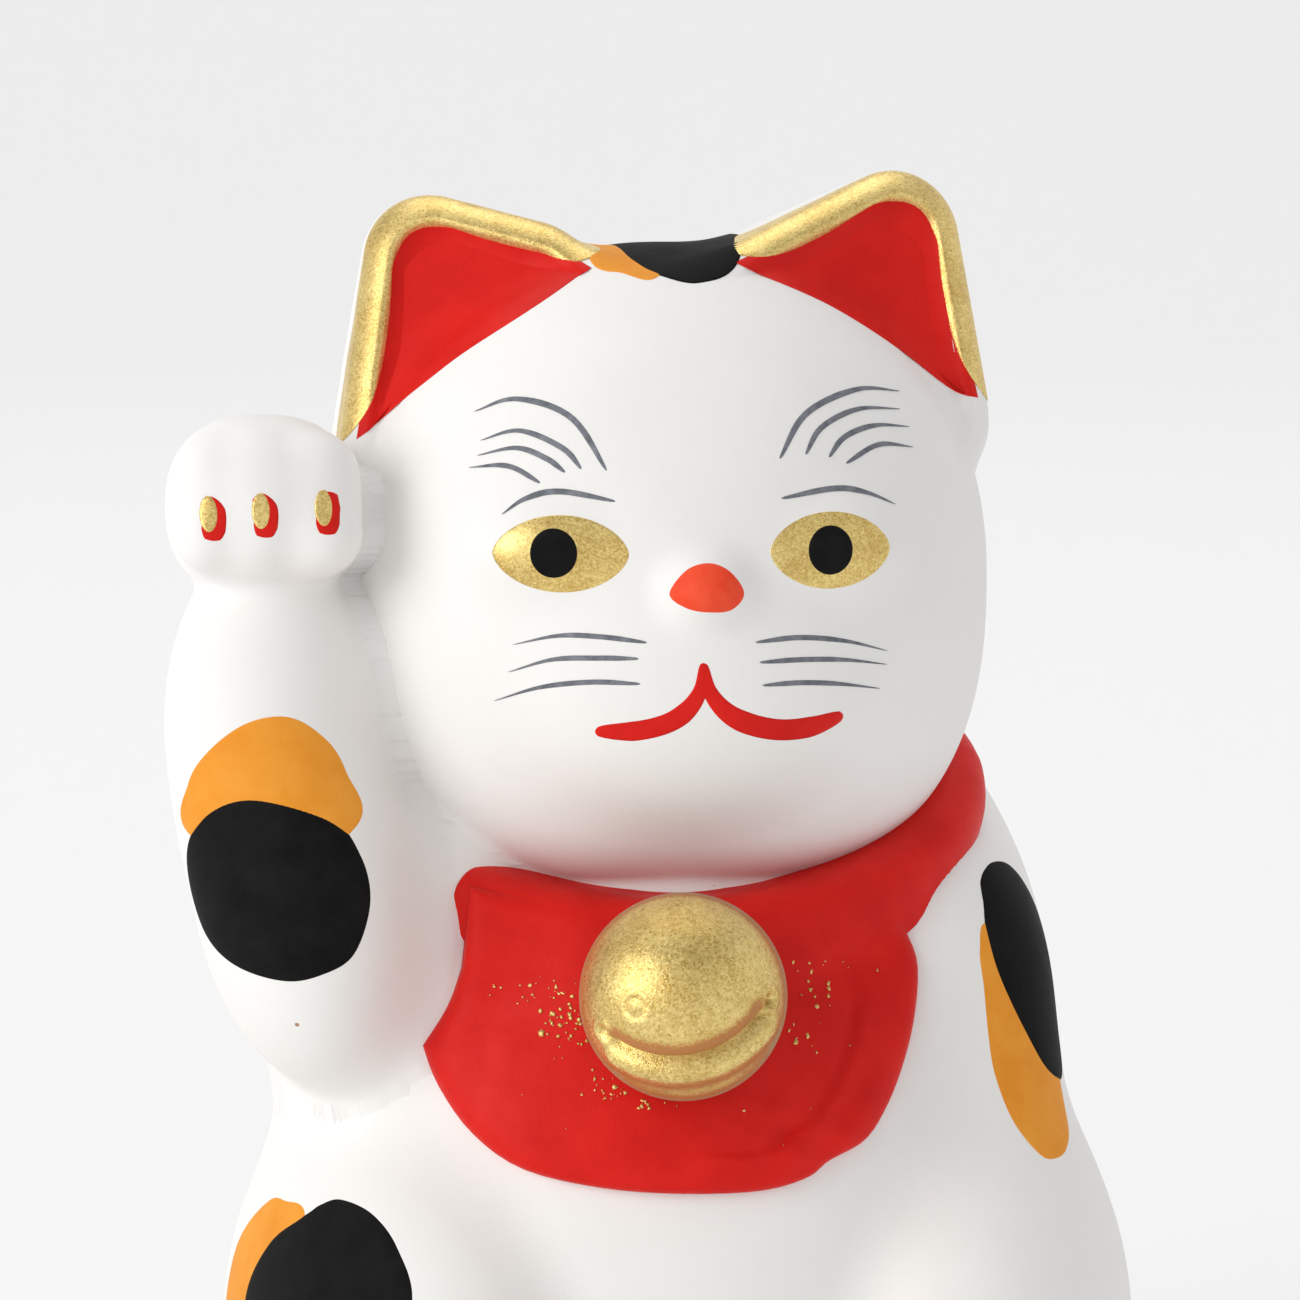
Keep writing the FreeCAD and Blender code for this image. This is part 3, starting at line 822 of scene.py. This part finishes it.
LIDS = [([(-18.8, 104.2), (-16.4, 105.8), (-13.2, 106.5), (-7.9, 105.6)], 0.55),
        ([(19.8, 104.6), (16.4, 106.0), (13.0, 106.5), (7.4, 105.7)], 0.55)]
LEFT_BROW = [([(-20.7, 113.5), (-16.6, 114.9), (-11.8, 113.3), (-8.7, 108.2)], 0.6),
             ([(-20.3, 110.9), (-16.6, 112.0), (-12.8, 110.5), (-11.1, 108.5)], 0.55),
             ([(-20.7, 109.5), (-17.0, 110.4), (-14.3, 109.5), (-12.6, 108.2)], 0.55),
             ([(-21.4, 108.4), (-17.8, 108.7), (-14.9, 107.2)], 0.5)]
RIGHT_BROW = [([(21.7, 115.0), (16.5, 115.5), (10.8, 113.5), (7.6, 109.2)], 0.6),
              ([(21.4, 113.4), (16.4, 113.7), (12.3, 112.2), (10.3, 109.6)], 0.55),
              ([(22.2, 111.7), (18.0, 112.1), (14.6, 111.2), (12.7, 109.3)], 0.55),
              ([(22.3, 109.8), (18.2, 110.3), (14.4, 108.7)], 0.5)]
LEFT_WHISKERS = [([(-17.9, 91.8), (-13.6, 92.9), (-9.6, 92.9), (-5.3, 92.4)], 0.5),
                 ([(-18.3, 89.1), (-14.2, 90.6), (-10.0, 90.9), (-6.1, 90.9)], 0.5),
                 ([(-19.5, 86.2), (-15.2, 87.9), (-10.6, 88.6), (-5.9, 88.5)], 0.5)]
RIGHT_WHISKERS = [([(18.9, 90.6), (14.0, 92.0), (9.2, 92.6), (4.6, 92.3)], 0.5),
                  ([(18.9, 89.3), (14.0, 90.2), (9.4, 90.5), (5.0, 90.4)], 0.5),
                  ([(18.2, 87.0), (13.6, 87.9), (9.4, 88.3), (5.3, 88.2)], 0.5)]
for name, strokes in (("lid_lines", LIDS), ("left_brow", LEFT_BROW),
                      ("right_brow", RIGHT_BROW), ("left_whiskers", LEFT_WHISKERS),
                      ("right_whiskers", RIGHT_WHISKERS)):
    make(name, gather([stroke(FACE, head, points, width) for points, width in strokes]),
         GREY)

nose_edge = spline([(-3.5, 97.1), (-2.0, 99.3), (0.2, 100.0), (2.2, 99.2), (3.6, 97.1),
                    (2.4, 95.6), (0.2, 95.4), (-2.0, 95.8)], 80, closed=True)
make("nose_paint", coat(FACE, head, nose_edge), NOSE)
MOUTH = [([(-0.2, 90.6), (-0.6, 87.6), (-2.6, 85.2), (-6.0, 84.0), (-10.4, 83.8)], 1.95),
         ([(-0.2, 90.6), (0.5, 87.6), (2.8, 85.2), (6.6, 83.9), (10.4, 83.9),
           (14.1, 84.9)], 2.1)]
make("mouth", gather([stroke(FACE, head, points, width, ends=(0.4, 0.62), count=40)
                      for points, width in MOUTH]), RED)

# ---------------------------------------------------------------- ear paint
GILDED = {1: (-60.0, 118.0), -1: (-47.0, 120.0)}     # degrees round the ear
HAIRLINE = {1: [(28.0, 114.6), (22.6, 118.6), (15.3, 123.1), (8.4, 126.2)],
            -1: [(28.6, 112.0), (24.6, 115.7), (19.8, 119.5), (11.0, 125.0)]}
LINING_INSET = 1.5                        # mm from the rim to the red
LINING_MIDDLE = (19.5, 122.5)
GILT_MIDDLE, GILT_HALF = 0.451, 0.046     # shares of the way from front to back


def ear_edge(side, around, inset):
    """Points a few mm inside the ear's outline, drawn on the doll's right."""
    middle, out, rim = ear_rim(side, around)
    return (middle + out * (rim - inset)[:, None])[:, [0, 2]]


for side, name in ((1, "right"), (-1, "left")):
    first, last = np.radians(GILDED[side])
    top = ear_edge(side, np.linspace(first, last, 90), LINING_INSET)
    top = top + [0, EAR_SKEW * side]
    edge = np.vstack([top, spline([top[-1], *HAIRLINE[side], top[0]], 60)[1:-1]])
    make(name + "_ear_lining", coat(FACE, whole_ears, edge * [side, 1], rings=30,
                                    centre=(LINING_MIDDLE[0] * side, LINING_MIDDLE[1])),
         RED)
    turn = np.linspace(0, 2 * np.pi, 49)[:-1]
    along = np.linspace(-1, 1, 181)
    taper = np.clip(1 - np.abs(along) ** 16, 0, 1) ** 0.5
    around = (first + last) / 2 + (last - first) / 2 * along
    wobble = 0.0025 * np.sin(5 * around + side) + 0.0015 * np.sin(13 * around)
    share = GILT_MIDDLE + wobble + (GILT_HALF + wobble) * np.cos(turn)[:, None] * taper
    lift = np.where(np.sin(turn) > 0, 2.2 * PAINT * np.abs(np.sin(turn)) ** 0.4,
                    SINK * np.abs(np.sin(turn)))
    field = ear_field(side)
    grid = ear_points(side, around + 0 * share, share,
                      lambda p: field(p) - lift[:, None])
    make(name + "_ear_gilding", closed_grid(grid, flip=side > 0), GOLD)

# ---------------------------------------------------------------- claws
for number, (x, z, lean) in enumerate(((-46.2, 104.3, -0.2), (-41.3, 104.6, -0.3),
                                       (-35.3, 104.8, 1.0))):
    red = [(x - 0.1 + lean, z + 1.5), (x + 0.5, z), (x + 0.3, z - 2.6)]
    make(f"claw_shade_{number + 1}", stroke(FACE, whole_cat, red, 2.3, ends=(0.5, 0.7)),
         RED)
    make(f"claw_{number + 1}", coat(FACE, whole_cat, ring((x, z), (0.85, 1.7)),
                                    lift=2 * PAINT), GOLD)

# ---------------------------------------------------------------- calico patches
ARM_SIDE = Board((-0.423, -0.906, 0), reach=45.0)
FLANK = Board((0.766, -0.643, 0), far=60.0, reach=52.0)
HAUNCH = Board((-0.707, -0.707, 0), far=60.0, reach=45.0)
CROWN = Board((0, 0, 1), far=140.0, reach=40.0)
PATCHES = {
    "arm_patch_orange": (ARM_SIDE, ORANGE, "orange_paint", PAINT, [
        (-24.2, 84.8), (-21.3, 82.7), (-19.4, 79.4), (-17.9, 74.4), (-24.0, 70.0),
        (-35.2, 73.4), (-34.5, 78.0), (-32.0, 81.3), (-28.0, 84.2)]),
    "arm_patch_black": (ARM_SIDE, BLACK, "black_paint", 2 * PAINT, [
        (-26.6, 77.2), (-20.0, 75.3), (-17.3, 71.6), (-16.4, 67.0), (-17.6, 62.3),
        (-20.3, 60.4), (-24.0, 59.7), (-29.6, 60.9), (-33.4, 63.4), (-35.5, 67.4),
        (-35.0, 72.0), (-31.6, 75.8)]),
    "flank_patch_orange": (FLANK, ORANGE, "orange_paint", PAINT, [
        (6.2, 62.4), (4.0, 60.1), (3.1, 56.2), (2.2, 52.1), (1.5, 48.2), (1.5, 43.7),
        (2.4, 41.1), (4.0, 40.0), (7.6, 40.4), (11.0, 43.0), (13.0, 50.0), (12.0, 58.0)]),
    "flank_patch_black": (FLANK, BLACK, "black_paint", 2 * PAINT, [
        (12.0, 67.5), (8.3, 66.4), (6.6, 64.1), (5.3, 61.3), (5.0, 57.5), (6.2, 52.4),
        (8.6, 47.9), (12.6, 46.3), (17.0, 48.0), (20.6, 52.6), (21.6, 58.0), (20.0, 63.2),
        (16.6, 66.6)]),
    "haunch_patch_orange": (HAUNCH, ORANGE, "orange_paint", PAINT, [
        (-19.4, 35.4), (-15.4, 36.3), (-11.2, 35.6), (-10.0, 28.0), (-14.0, 18.0),
        (-22.0, 16.0), (-26.6, 21.0), (-25.6, 29.6)]),
    "haunch_patch_black": (HAUNCH, BLACK, "black_paint", 2 * PAINT, [
        (-10.9, 35.9), (-9.4, 36.9), (-6.9, 37.7), (-2.6, 36.9), (1.2, 34.2), (4.0, 29.4),
        (3.0, 22.0), (-3.0, 16.2), (-11.0, 15.4), (-17.4, 19.0), (-19.9, 26.2),
        (-16.3, 32.4)]),
    "crown_patch_orange": (CROWN, ORANGE, "orange_paint", PAINT, [
        (-8.0, -11.6), (-5.3, -14.7), (-2.0, -16.4), (2.0, -8.0), (-1.0, 0.0),
        (-7.0, -1.0)]),
    "crown_patch_black": (CROWN, BLACK, "black_paint", 2 * PAINT, [
        (-4.4, -9.0), (-3.4, -13.6), (-1.6, -16.0), (2.0, -17.4), (6.6, -13.6),
        (8.0, -4.0), (6.6, 8.0), (1.0, 12.0), (-4.4, 4.0)]),
}
for name, (board, material, slot_name, lift, points) in PATCHES.items():
    edge = spline(points, 160, closed=True)
    make(name, coat(board, whole_cat, edge, rings=30, lift=lift), material)

# ---------------------------------------------------------------- tail
tail_low, tail_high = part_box("tail")
tail_z = (tail_low[2] + tail_high[2]) / 2 / UNIT
rump_y = tail_low[1] / UNIT


TAIL_ROOT = (0, rump_y, tail_z - 7)       # mm
TAIL_BEND = (0, rump_y + 3.0, tail_z + 2)
TAIL_TIP = (1.5, rump_y + 0.5, tail_z + 9)


def tail_field(p):
    """Short bent tail that lies against the rump, filleted onto it."""
    d = capsule(p, TAIL_ROOT, TAIL_BEND, 5.4, 5.8)
    d = smin(d, capsule(p, TAIL_BEND, TAIL_TIP, 5.6, 4.2), 2.0)
    return smin(d, body(p) + UNDER, 3.0)


around, up = np.meshgrid(np.linspace(0, 2 * np.pi, 121)[:-1],
                         np.radians(np.linspace(-90, 90, 121)), indexing="ij")
way = np.stack([np.sin(around) * np.cos(up), -np.cos(around) * np.cos(up), np.sin(up)], -1)
start = np.array([0, rump_y + 1.0, tail_z - 1.0]) + 0 * way
far = np.where(way[..., 1] > -0.2, 17.0, 9.0)
grid = start + way * leave(tail_field, start, way, far)[..., None]
make("bob_tail", closed_grid(grid), BLACK, ["tail"])

# ---------------------------------------------------------------- collar
collar_low, collar_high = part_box("collar")
COLLAR_SEMI = ((collar_high[0] - collar_low[0]) / 2 / UNIT, 31.0)
COLLAR_MIDDLE = np.array([0.0, 0.0, (collar_low[2] + collar_high[2]) / 2 / UNIT])
COLLAR_TILT = np.radians(21.0)
COLLAR_THICK, COLLAR_TALL = 6.4, 4.9      # semi-axes of its section, mm
COLLAR_LEAN = 0.62                        # its front leans back this much of its height
COLLAR_ENDS = (-44.0, 290.0)              # degrees round the neck from the front


def band(p):
    """Clay band round the neck: a squarish section carried round a tilted oval. In
    front it leans back against the chin, and at the side a fold hollows it."""
    q = p - COLLAR_MIDDLE
    c, s = np.cos(COLLAR_TILT), np.sin(COLLAR_TILT)
    x, y, z = q[..., 0], q[..., 1] * c + q[..., 2] * s, q[..., 2] * c - q[..., 1] * s
    a, b = COLLAR_SEMI
    k = np.sqrt((x / a) ** 2 + (y / b) ** 2)
    out = (k - 1) * k / np.maximum(np.sqrt((x / a ** 2) ** 2 + (y / b ** 2) ** 2), 1e-6)
    around = np.arctan2(x / a, -y / b)
    front = np.maximum(np.cos(around), 0.0)
    out = out + COLLAR_LEAN * front * z + 0.7 * front
    out = out + 0.55 * np.sin(around) ** 2 * np.exp(-((z + 1.2) / 1.3) ** 2)
    out = out + 0.14 * np.sin(3 * around + 0.5 + 0.3 * z)
    tall = COLLAR_TALL + 0.5 * np.sin(around) + 0.12 * np.sin(7 * around)
    level = np.clip(1.0 - 0.07 * front * np.maximum(-out, 0.0), 0.25, 1.0) - 0.36 * front
    tall = tall * np.where(z > 0, level, 1.0)
    u, v = (out + COLLAR_THICK) / COLLAR_THICK, z / tall
    return ((np.abs(u) ** 3.0 + np.abs(v) ** 3.0) ** (1 / 3.0) - 1) * COLLAR_TALL


def collar():
    """Skin of the band from its cut end beside the raised foreleg, round the neck, to
    its other end inside the shoulder. Rays fan out from the middle of its section."""
    ends = np.array([0.0, 0.5, 0.86, 0.96, 1.0])
    creep = np.array([0.0, 0.0, 0.1, 0.35, 0.8])
    first, last = COLLAR_ENDS
    run = np.linspace(first + 1.4, last - 1.4, 330)
    along = np.radians(np.hstack([first + creep, run, last - creep[::-1]]))
    size = np.hstack([ends, np.ones(len(run)), ends[::-1]])
    section, around = np.meshgrid(np.linspace(0, 2 * np.pi, 73)[:-1], along, indexing="ij")
    c, s = np.cos(COLLAR_TILT), np.sin(COLLAR_TILT)
    a, b = COLLAR_SEMI[0] - COLLAR_THICK, COLLAR_SEMI[1] - COLLAR_THICK

    def turned(x, y, z):
        return np.stack([x, y * c - z * s, y * s + z * c], -1)

    start = turned(a * np.sin(around), -b * np.cos(around), 0 * around) + COLLAR_MIDDLE
    rise, out = np.sin(section), np.cos(section)
    way = turned(out * np.sin(around), -out * np.cos(around), rise)
    return closed_grid(start + way * (leave(band, start, way, 14.0) * size)[..., None],
                       flip=True)


make("neck_band", collar(), RED, ["collar"])

# ---------------------------------------------------------------- bib
BIB_THICK = 1.9                           # mm
BIB_MIDDLE = np.array([-1.0, 53.0])
BIB_EDGE = outline([
    [(-25.6, 52.2), (-24.2, 48.4), (-21.4, 44.4), (-17.0, 41.4), (-10.1, 39.9),
     (-2.7, 39.3), (5.6, 39.3), (10.4, 40.3), (12.6, 41.7), (16.4, 43.3), (18.8, 46.0),
     (20.8, 49.6), (22.3, 54.0), (23.0, 59.0), (22.0, 62.2), (20.0, 65.0)],
    [(20.0, 65.0), (0.0, 64.0), (-21.0, 67.6)],
    [(-21.0, 67.6), (-21.4, 63.0), (-21.8, 59.6)],
    [(-21.8, 59.6), (-23.2, 56.0), (-25.6, 52.2)]], 60)


def bib_top(share, drawn):
    """Height of the bib: flat and rounded over at its edge. On the right a border
    stands up from the middle along a groove, and the lower right is dented."""
    x, z = drawn[..., 0], drawn[..., 1]
    right = smoothstep(-5.0, 9.0, x)
    plain = BIB_THICK * np.clip(1.0 - share ** 22, 0.0, 1.0) ** 0.5
    ring = 0.70 + 0.02 * np.sin(5 * np.arctan2(z - BIB_MIDDLE[1], x - BIB_MIDDLE[0]))
    sunk = 0.40 * smoothstep(ring + 0.05, ring - 0.03, share) * right
    groove = 0.26 * np.exp(-((share - ring) / 0.03) ** 2) * right
    low = smoothstep(52.0, 46.0, z) * smoothstep(2.0, 9.0, x) * smoothstep(1.0, 0.85, share)
    dents = (0.16 * np.sin(1.3 * x - 0.9 * z) + 0.12 * np.sin(0.8 * x + 1.7 * z)) * low
    brushed = 0.03 * np.sin(0.9 * x + 0.4 * z) * np.sin(0.35 * x - 0.8 * z)
    return plain - sunk - groove - dents - brushed * smoothstep(1.0, 0.9, share)


def bib_field(height):
    """Chest raised by the bib's height, running smoothly into the collar: softly on
    the left, and in a crease on the right."""
    return lambda p: smin(body(p) - height, band(p) + UNDER,
                          np.interp(p[..., 0], (-8.0, 12.0), (5.0, 1.4)))


def bib():
    """Rings that shrink from the bib's outline, over its top and back underneath."""
    rings = 70
    share = np.hstack([np.sin(np.linspace(0, np.pi / 2, rings)), 1.0, 0.5, 0.0])
    drawn = BIB_MIDDLE + (BIB_EDGE - BIB_MIDDLE)[:, None] * share[None, :, None]
    height = bib_top(share, drawn)
    height[:, rings:] = SINK
    top = FACE.cast(bib_field(height[:, :rings]), drawn[:, :rings], 0.0)
    under = FACE.cast(body, drawn[:, rings:], SINK)
    return closed_grid(np.hstack([top, under]), flip=True)


make("bib_clay", bib(), RED, ["bib"])


CHIP_SIZES = (0.07, 0.30)                 # mm
CHIP_LIFTS = (0.13, 0.11, -0.02, -0.3, -0.3)          # mm, from its middle over and under
CHIP_SEED = 11


def flakes(name, places, seed):
    """Chips of gold powder strewn round a few places on the bib: small six-sided
    plates, each with its own size and turn, laid on its top."""
    chance = np.random.default_rng(seed)
    middle, size = [], []
    for x, z, spread_x, spread_z, count in places:
        middle.append(chance.normal((x, z), (spread_x, spread_z), (count, 2)))
        size.append(chance.uniform(*CHIP_SIZES, count) * chance.uniform(0.5, 1.3, count))
    middle, size = np.vstack(middle), np.hstack(size)
    count = len(size)
    turn = np.linspace(0, 2 * np.pi, 7)[:-1] + chance.uniform(0, 6, (count, 1))
    spoke = size[:, None] * chance.uniform(0.5, 1.3, (count, 6))
    edge = np.stack([np.cos(turn), np.sin(turn)], -1) * spoke[..., None]
    share = np.array([0.0, 0.7, 1.0, 0.6, 0.0])
    drawn = middle[:, None, None] + edge[:, :, None] * share[:, None]
    rim = np.linalg.norm(BIB_EDGE - BIB_MIDDLE, axis=1)
    bearing = np.arctan2(*(BIB_EDGE - BIB_MIDDLE).T)
    order = np.argsort(bearing)
    away = drawn - BIB_MIDDLE
    reach = np.interp(np.arctan2(away[..., 0], away[..., 1]), bearing[order], rim[order])
    height = bib_top(np.linalg.norm(away, axis=-1) / reach, drawn)
    lift = np.array(CHIP_LIFTS)
    grids = FACE.cast(bib_field(height + lift), drawn, 0.0)
    make(name, gather([closed_grid(grid, flip=True) for grid in grids]), GOLD)


flakes("gold_chips", [(-14.8, 58.2, 2.4, 0.9, 30), (-12.8, 55.6, 1.4, 0.8, 26),
                      (-12.0, 54.0, 1.2, 1.3, 16), (-10.4, 50.8, 0.8, 1.0, 8),
                      (-8.6, 48.9, 1.0, 0.5, 16), (-5.4, 47.8, 0.6, 0.3, 8),
                      (12.2, 60.4, 1.6, 0.7, 18), (12.4, 57.4, 0.9, 1.0, 10),
                      (10.6, 53.6, 1.2, 1.0, 8), (0.0, 55.0, 14.0, 7.0, 16)], CHIP_SEED)

# ---------------------------------------------------------------- bell
bell_low, bell_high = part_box("bell")
BELL_RADIUS = (bell_high[0] - bell_low[0]) / 2 / UNIT
BELL_RISE = 0.7                           # mm, the bell sits up against the chin
BELL_MIDDLE = np.array([(bell_low[0] + bell_high[0]) / 2 / UNIT,
                        bell_low[1] / UNIT + BELL_RADIUS,
                        (bell_low[2] + bell_high[2]) / 2 / UNIT + BELL_RISE])
SLOT_AXIS = np.array([-0.216, -0.735, 0.643]) / np.linalg.norm([-0.216, -0.735, 0.643])
SLOT_LEAN = np.radians(68.4)              # the slot runs this far from its axis
SLOT_ENDS = (-1.325, 0.82)                # where it starts and ends, round the axis
SLOT_DEEP, SLOT_ROLL = 1.0, 1.9           # mm, and width of the lip rolled into it
LIP_HIGH, DIP_DEEP = 0.55, 0.22           # mm, the lower lip and the hollow below it
PRICKS = (0.9, 0.5)                       # mm deep, the dimple at each end
NIB = np.array([-0.57, -0.80, 0.03])      # near the camera's way: the rim turned from it is painted tan as shade and reflection
RIM_SHADE_WAY = np.array([-0.17, -0.97, 0.17])           # way the gold powder came from


def bell():
    """Ball with a mouth pressed across it: the radius dips along an arc of a circle
    about a leaning axis. The upper lip rolls into the slot, the lower lip stands a
    little proud, and the slot ends in two pricked dimples. Also gives how much brown
    and tan is painted on the gold at each point: painted shade along the slot, and
    painted shade and reflection round the rim, where the gold is thin over its base colour."""
    side = np.cross(SLOT_AXIS, (0.0, 0.0, 1.0))
    side /= np.linalg.norm(side)
    down = np.cross(side, SLOT_AXIS)

    def towards(lean, around):
        return (np.cos(lean)[..., None] * SLOT_AXIS
                + (np.sin(lean) * np.sin(around))[..., None] * side
                - (np.sin(lean) * np.cos(around))[..., None] * down)

    def away(place):
        return np.linalg.norm(way - place / np.linalg.norm(place), axis=-1) * BELL_RADIUS

    around, lean = np.meshgrid(np.linspace(-np.pi, np.pi, 401)[:-1],
                               np.linspace(np.pi, 0, 361), indexing="ij")
    way = towards(lean, around)
    s = (lean - SLOT_LEAN) * BELL_RADIUS
    middle, half = sum(SLOT_ENDS) / 2, (SLOT_ENDS[1] - SLOT_ENDS[0]) / 2
    mouth = smoothstep(half + 0.03, half - 0.22, np.abs(around - middle))
    rolled = np.clip((s + SLOT_ROLL) / SLOT_ROLL, 0, 1) ** 2.4
    roll = 1.0 - np.sqrt(np.clip(1.0 - rolled, 0, 1))
    below = np.where(s >= 0, np.exp(-(s / 0.75) ** 2), 0.0)
    lip = LIP_HIGH * np.exp(-((s - 2.1) / 1.1) ** 2) * (s > 0)
    dip = DIP_DEEP * np.exp(-((s - 4.6) / 0.9) ** 2)
    radius = BELL_RADIUS - mouth * (SLOT_DEEP * np.where(s < 0, roll, below) - lip + dip)
    for end, deep in zip(SLOT_ENDS, PRICKS):
        prick = away(towards(SLOT_LEAN + 0 * way[0, 0, 0], np.array(end)))
        radius = radius - deep * np.exp(-(prick / 0.5) ** 2) \
            + 0.16 * np.exp(-((prick - 1.1) / 0.4) ** 2)
    nib = away(NIB)
    radius = radius + 0.12 * np.exp(-(nib / 0.35) ** 2) - 0.06 * np.exp(
        -((nib - 0.9) / 0.25) ** 2) + 0.05 * np.exp(-((nib - 1.5) / 0.3) ** 2)
    # Painted shade: brown on the slot's upper wall, which faces down, and on the band where
    # the lower lip turns under. Painted shade and reflection: tan round the rim as the ball
    # turns away from the camera's way, where the gold is also thin.
    brown = mouth * (1.05 * np.exp(-((s + 0.95) / 0.95) ** 2)
                     + 0.95 * np.exp(-((s - 4.1) / 1.0) ** 2))
    facing = way @ RIM_SHADE_WAY
    rim = smoothstep(0.50, 0.08, facing)
    brown = np.minimum(brown, 1.0) * (1.0 - rim) + (0.55 + 1.2 * rim) * rim
    verts, faces = closed_grid(BELL_MIDDLE + way * radius[..., None])
    brown = np.hstack([brown[:, 1:-1].ravel(), brown[:, 0].mean(), brown[:, -1].mean()])
    return (verts, faces), brown


bell_shape, bell_painted_shade = bell()
ball = make("ball_bell", bell_shape, BELL_GOLD, ["bell"])
# The painted shade and reflection go on the ball as a point attribute, which its gold
# material reads.
painted_shade = ball.data.attributes.new("painted_shade", "FLOAT", "POINT")
painted_shade.data.foreach_set("value", bell_painted_shade)


# ---------------------------------------------------------------- studio
FLOOR_RADIUS, WALL_BEND, WALL_HIGH = 1.9, 0.9, 2.2    # metres


def studio():
    """Round pale floor that sweeps up in a quarter circle into a wall."""
    turn = np.linspace(0, 2 * np.pi, 97)[:-1]
    bend = np.linspace(0, np.pi / 2, 16)
    radius = np.hstack([0.05, 0.4, 1.2, FLOOR_RADIUS + WALL_BEND * np.sin(bend),
                        FLOOR_RADIUS + WALL_BEND])
    height = np.hstack([0, 0, 0, WALL_BEND - WALL_BEND * np.cos(bend), WALL_HIGH])
    points = np.stack([radius * np.sin(turn)[:, None], radius * np.cos(turn)[:, None],
                       height + 0 * turn[:, None]], -1)
    number = np.arange(points.shape[0] * points.shape[1]).reshape(points.shape[:2])
    number = np.vstack([number, number[:1]])
    mesh = bpy.data.meshes.new("studio_floor")
    centre = [number[:-1, 0][::-1].tolist()]
    mesh.from_pydata(points.reshape(-1, 3), [], patch(number) + centre)
    mesh.polygons.foreach_set("use_smooth", np.ones(len(mesh.polygons), bool))
    material, bsdf = shader("studio_paper", 0.9, specular=0.1)
    bsdf.inputs["Base Color"].default_value = (0.6, 0.6, 0.6, 1.0)
    bsdf.inputs["Emission Color"].default_value = (1.0, 1.0, 1.0, 1.0)
    bsdf.inputs["Emission Strength"].default_value = 0.33
    mesh.materials.append(material)
    floor = bpy.data.objects.new("studio_floor", mesh)
    bpy.context.collection.objects.link(floor)


def lamp(name, place, aim, size, watts, colour=(1, 1, 1)):
    """Square soft light that faces a point."""
    light = bpy.data.lights.new(name, "AREA")
    light.size, light.energy, light.color = size, watts, colour
    thing = bpy.data.objects.new(name, light)
    bpy.context.collection.objects.link(thing)
    thing.location = place
    thing.rotation_euler = (Vector(aim) - Vector(place)).to_track_quat("-Z", "Y").to_euler()


studio()
lamp("window_light", (-1.12, -0.55, 0.50), (0, 0, 0.08), 0.85, 8.3, (1.0, 0.985, 0.965))
lamp("ceiling_light", (0, 0.8, 1.9), (0, 0.8, 0), 1.6, 14.0)
world = bpy.data.worlds.new("studio_air")
world.use_nodes = True
world.node_tree.nodes["Background"].inputs["Color"].default_value = (1, 1, 1, 1)
world.node_tree.nodes["Background"].inputs["Strength"].default_value = 0.46
bpy.context.scene.world = world
bpy.context.scene.view_settings.view_transform = "Standard"

# ---------------------------------------------------------------- camera
AIM = Vector((-0.3, 0.0, 88.0)) * UNIT
TURN, RISE, AWAY = np.radians(-8.0), np.radians(6.0), 650.0 * UNIT
SENSOR, FOCAL = 36.0, 180.0               # mm
towards = Vector((np.sin(TURN) * np.cos(RISE), -np.cos(TURN) * np.cos(RISE), np.sin(RISE)))
lens = bpy.data.cameras.new("camera")
lens.sensor_width, lens.lens = SENSOR, FOCAL
camera = bpy.data.objects.new("camera", lens)
bpy.context.collection.objects.link(camera)
camera.location = AIM + towards * AWAY
camera.rotation_euler = towards.to_track_quat("Z", "Y").to_euler()
bpy.context.scene.camera = camera
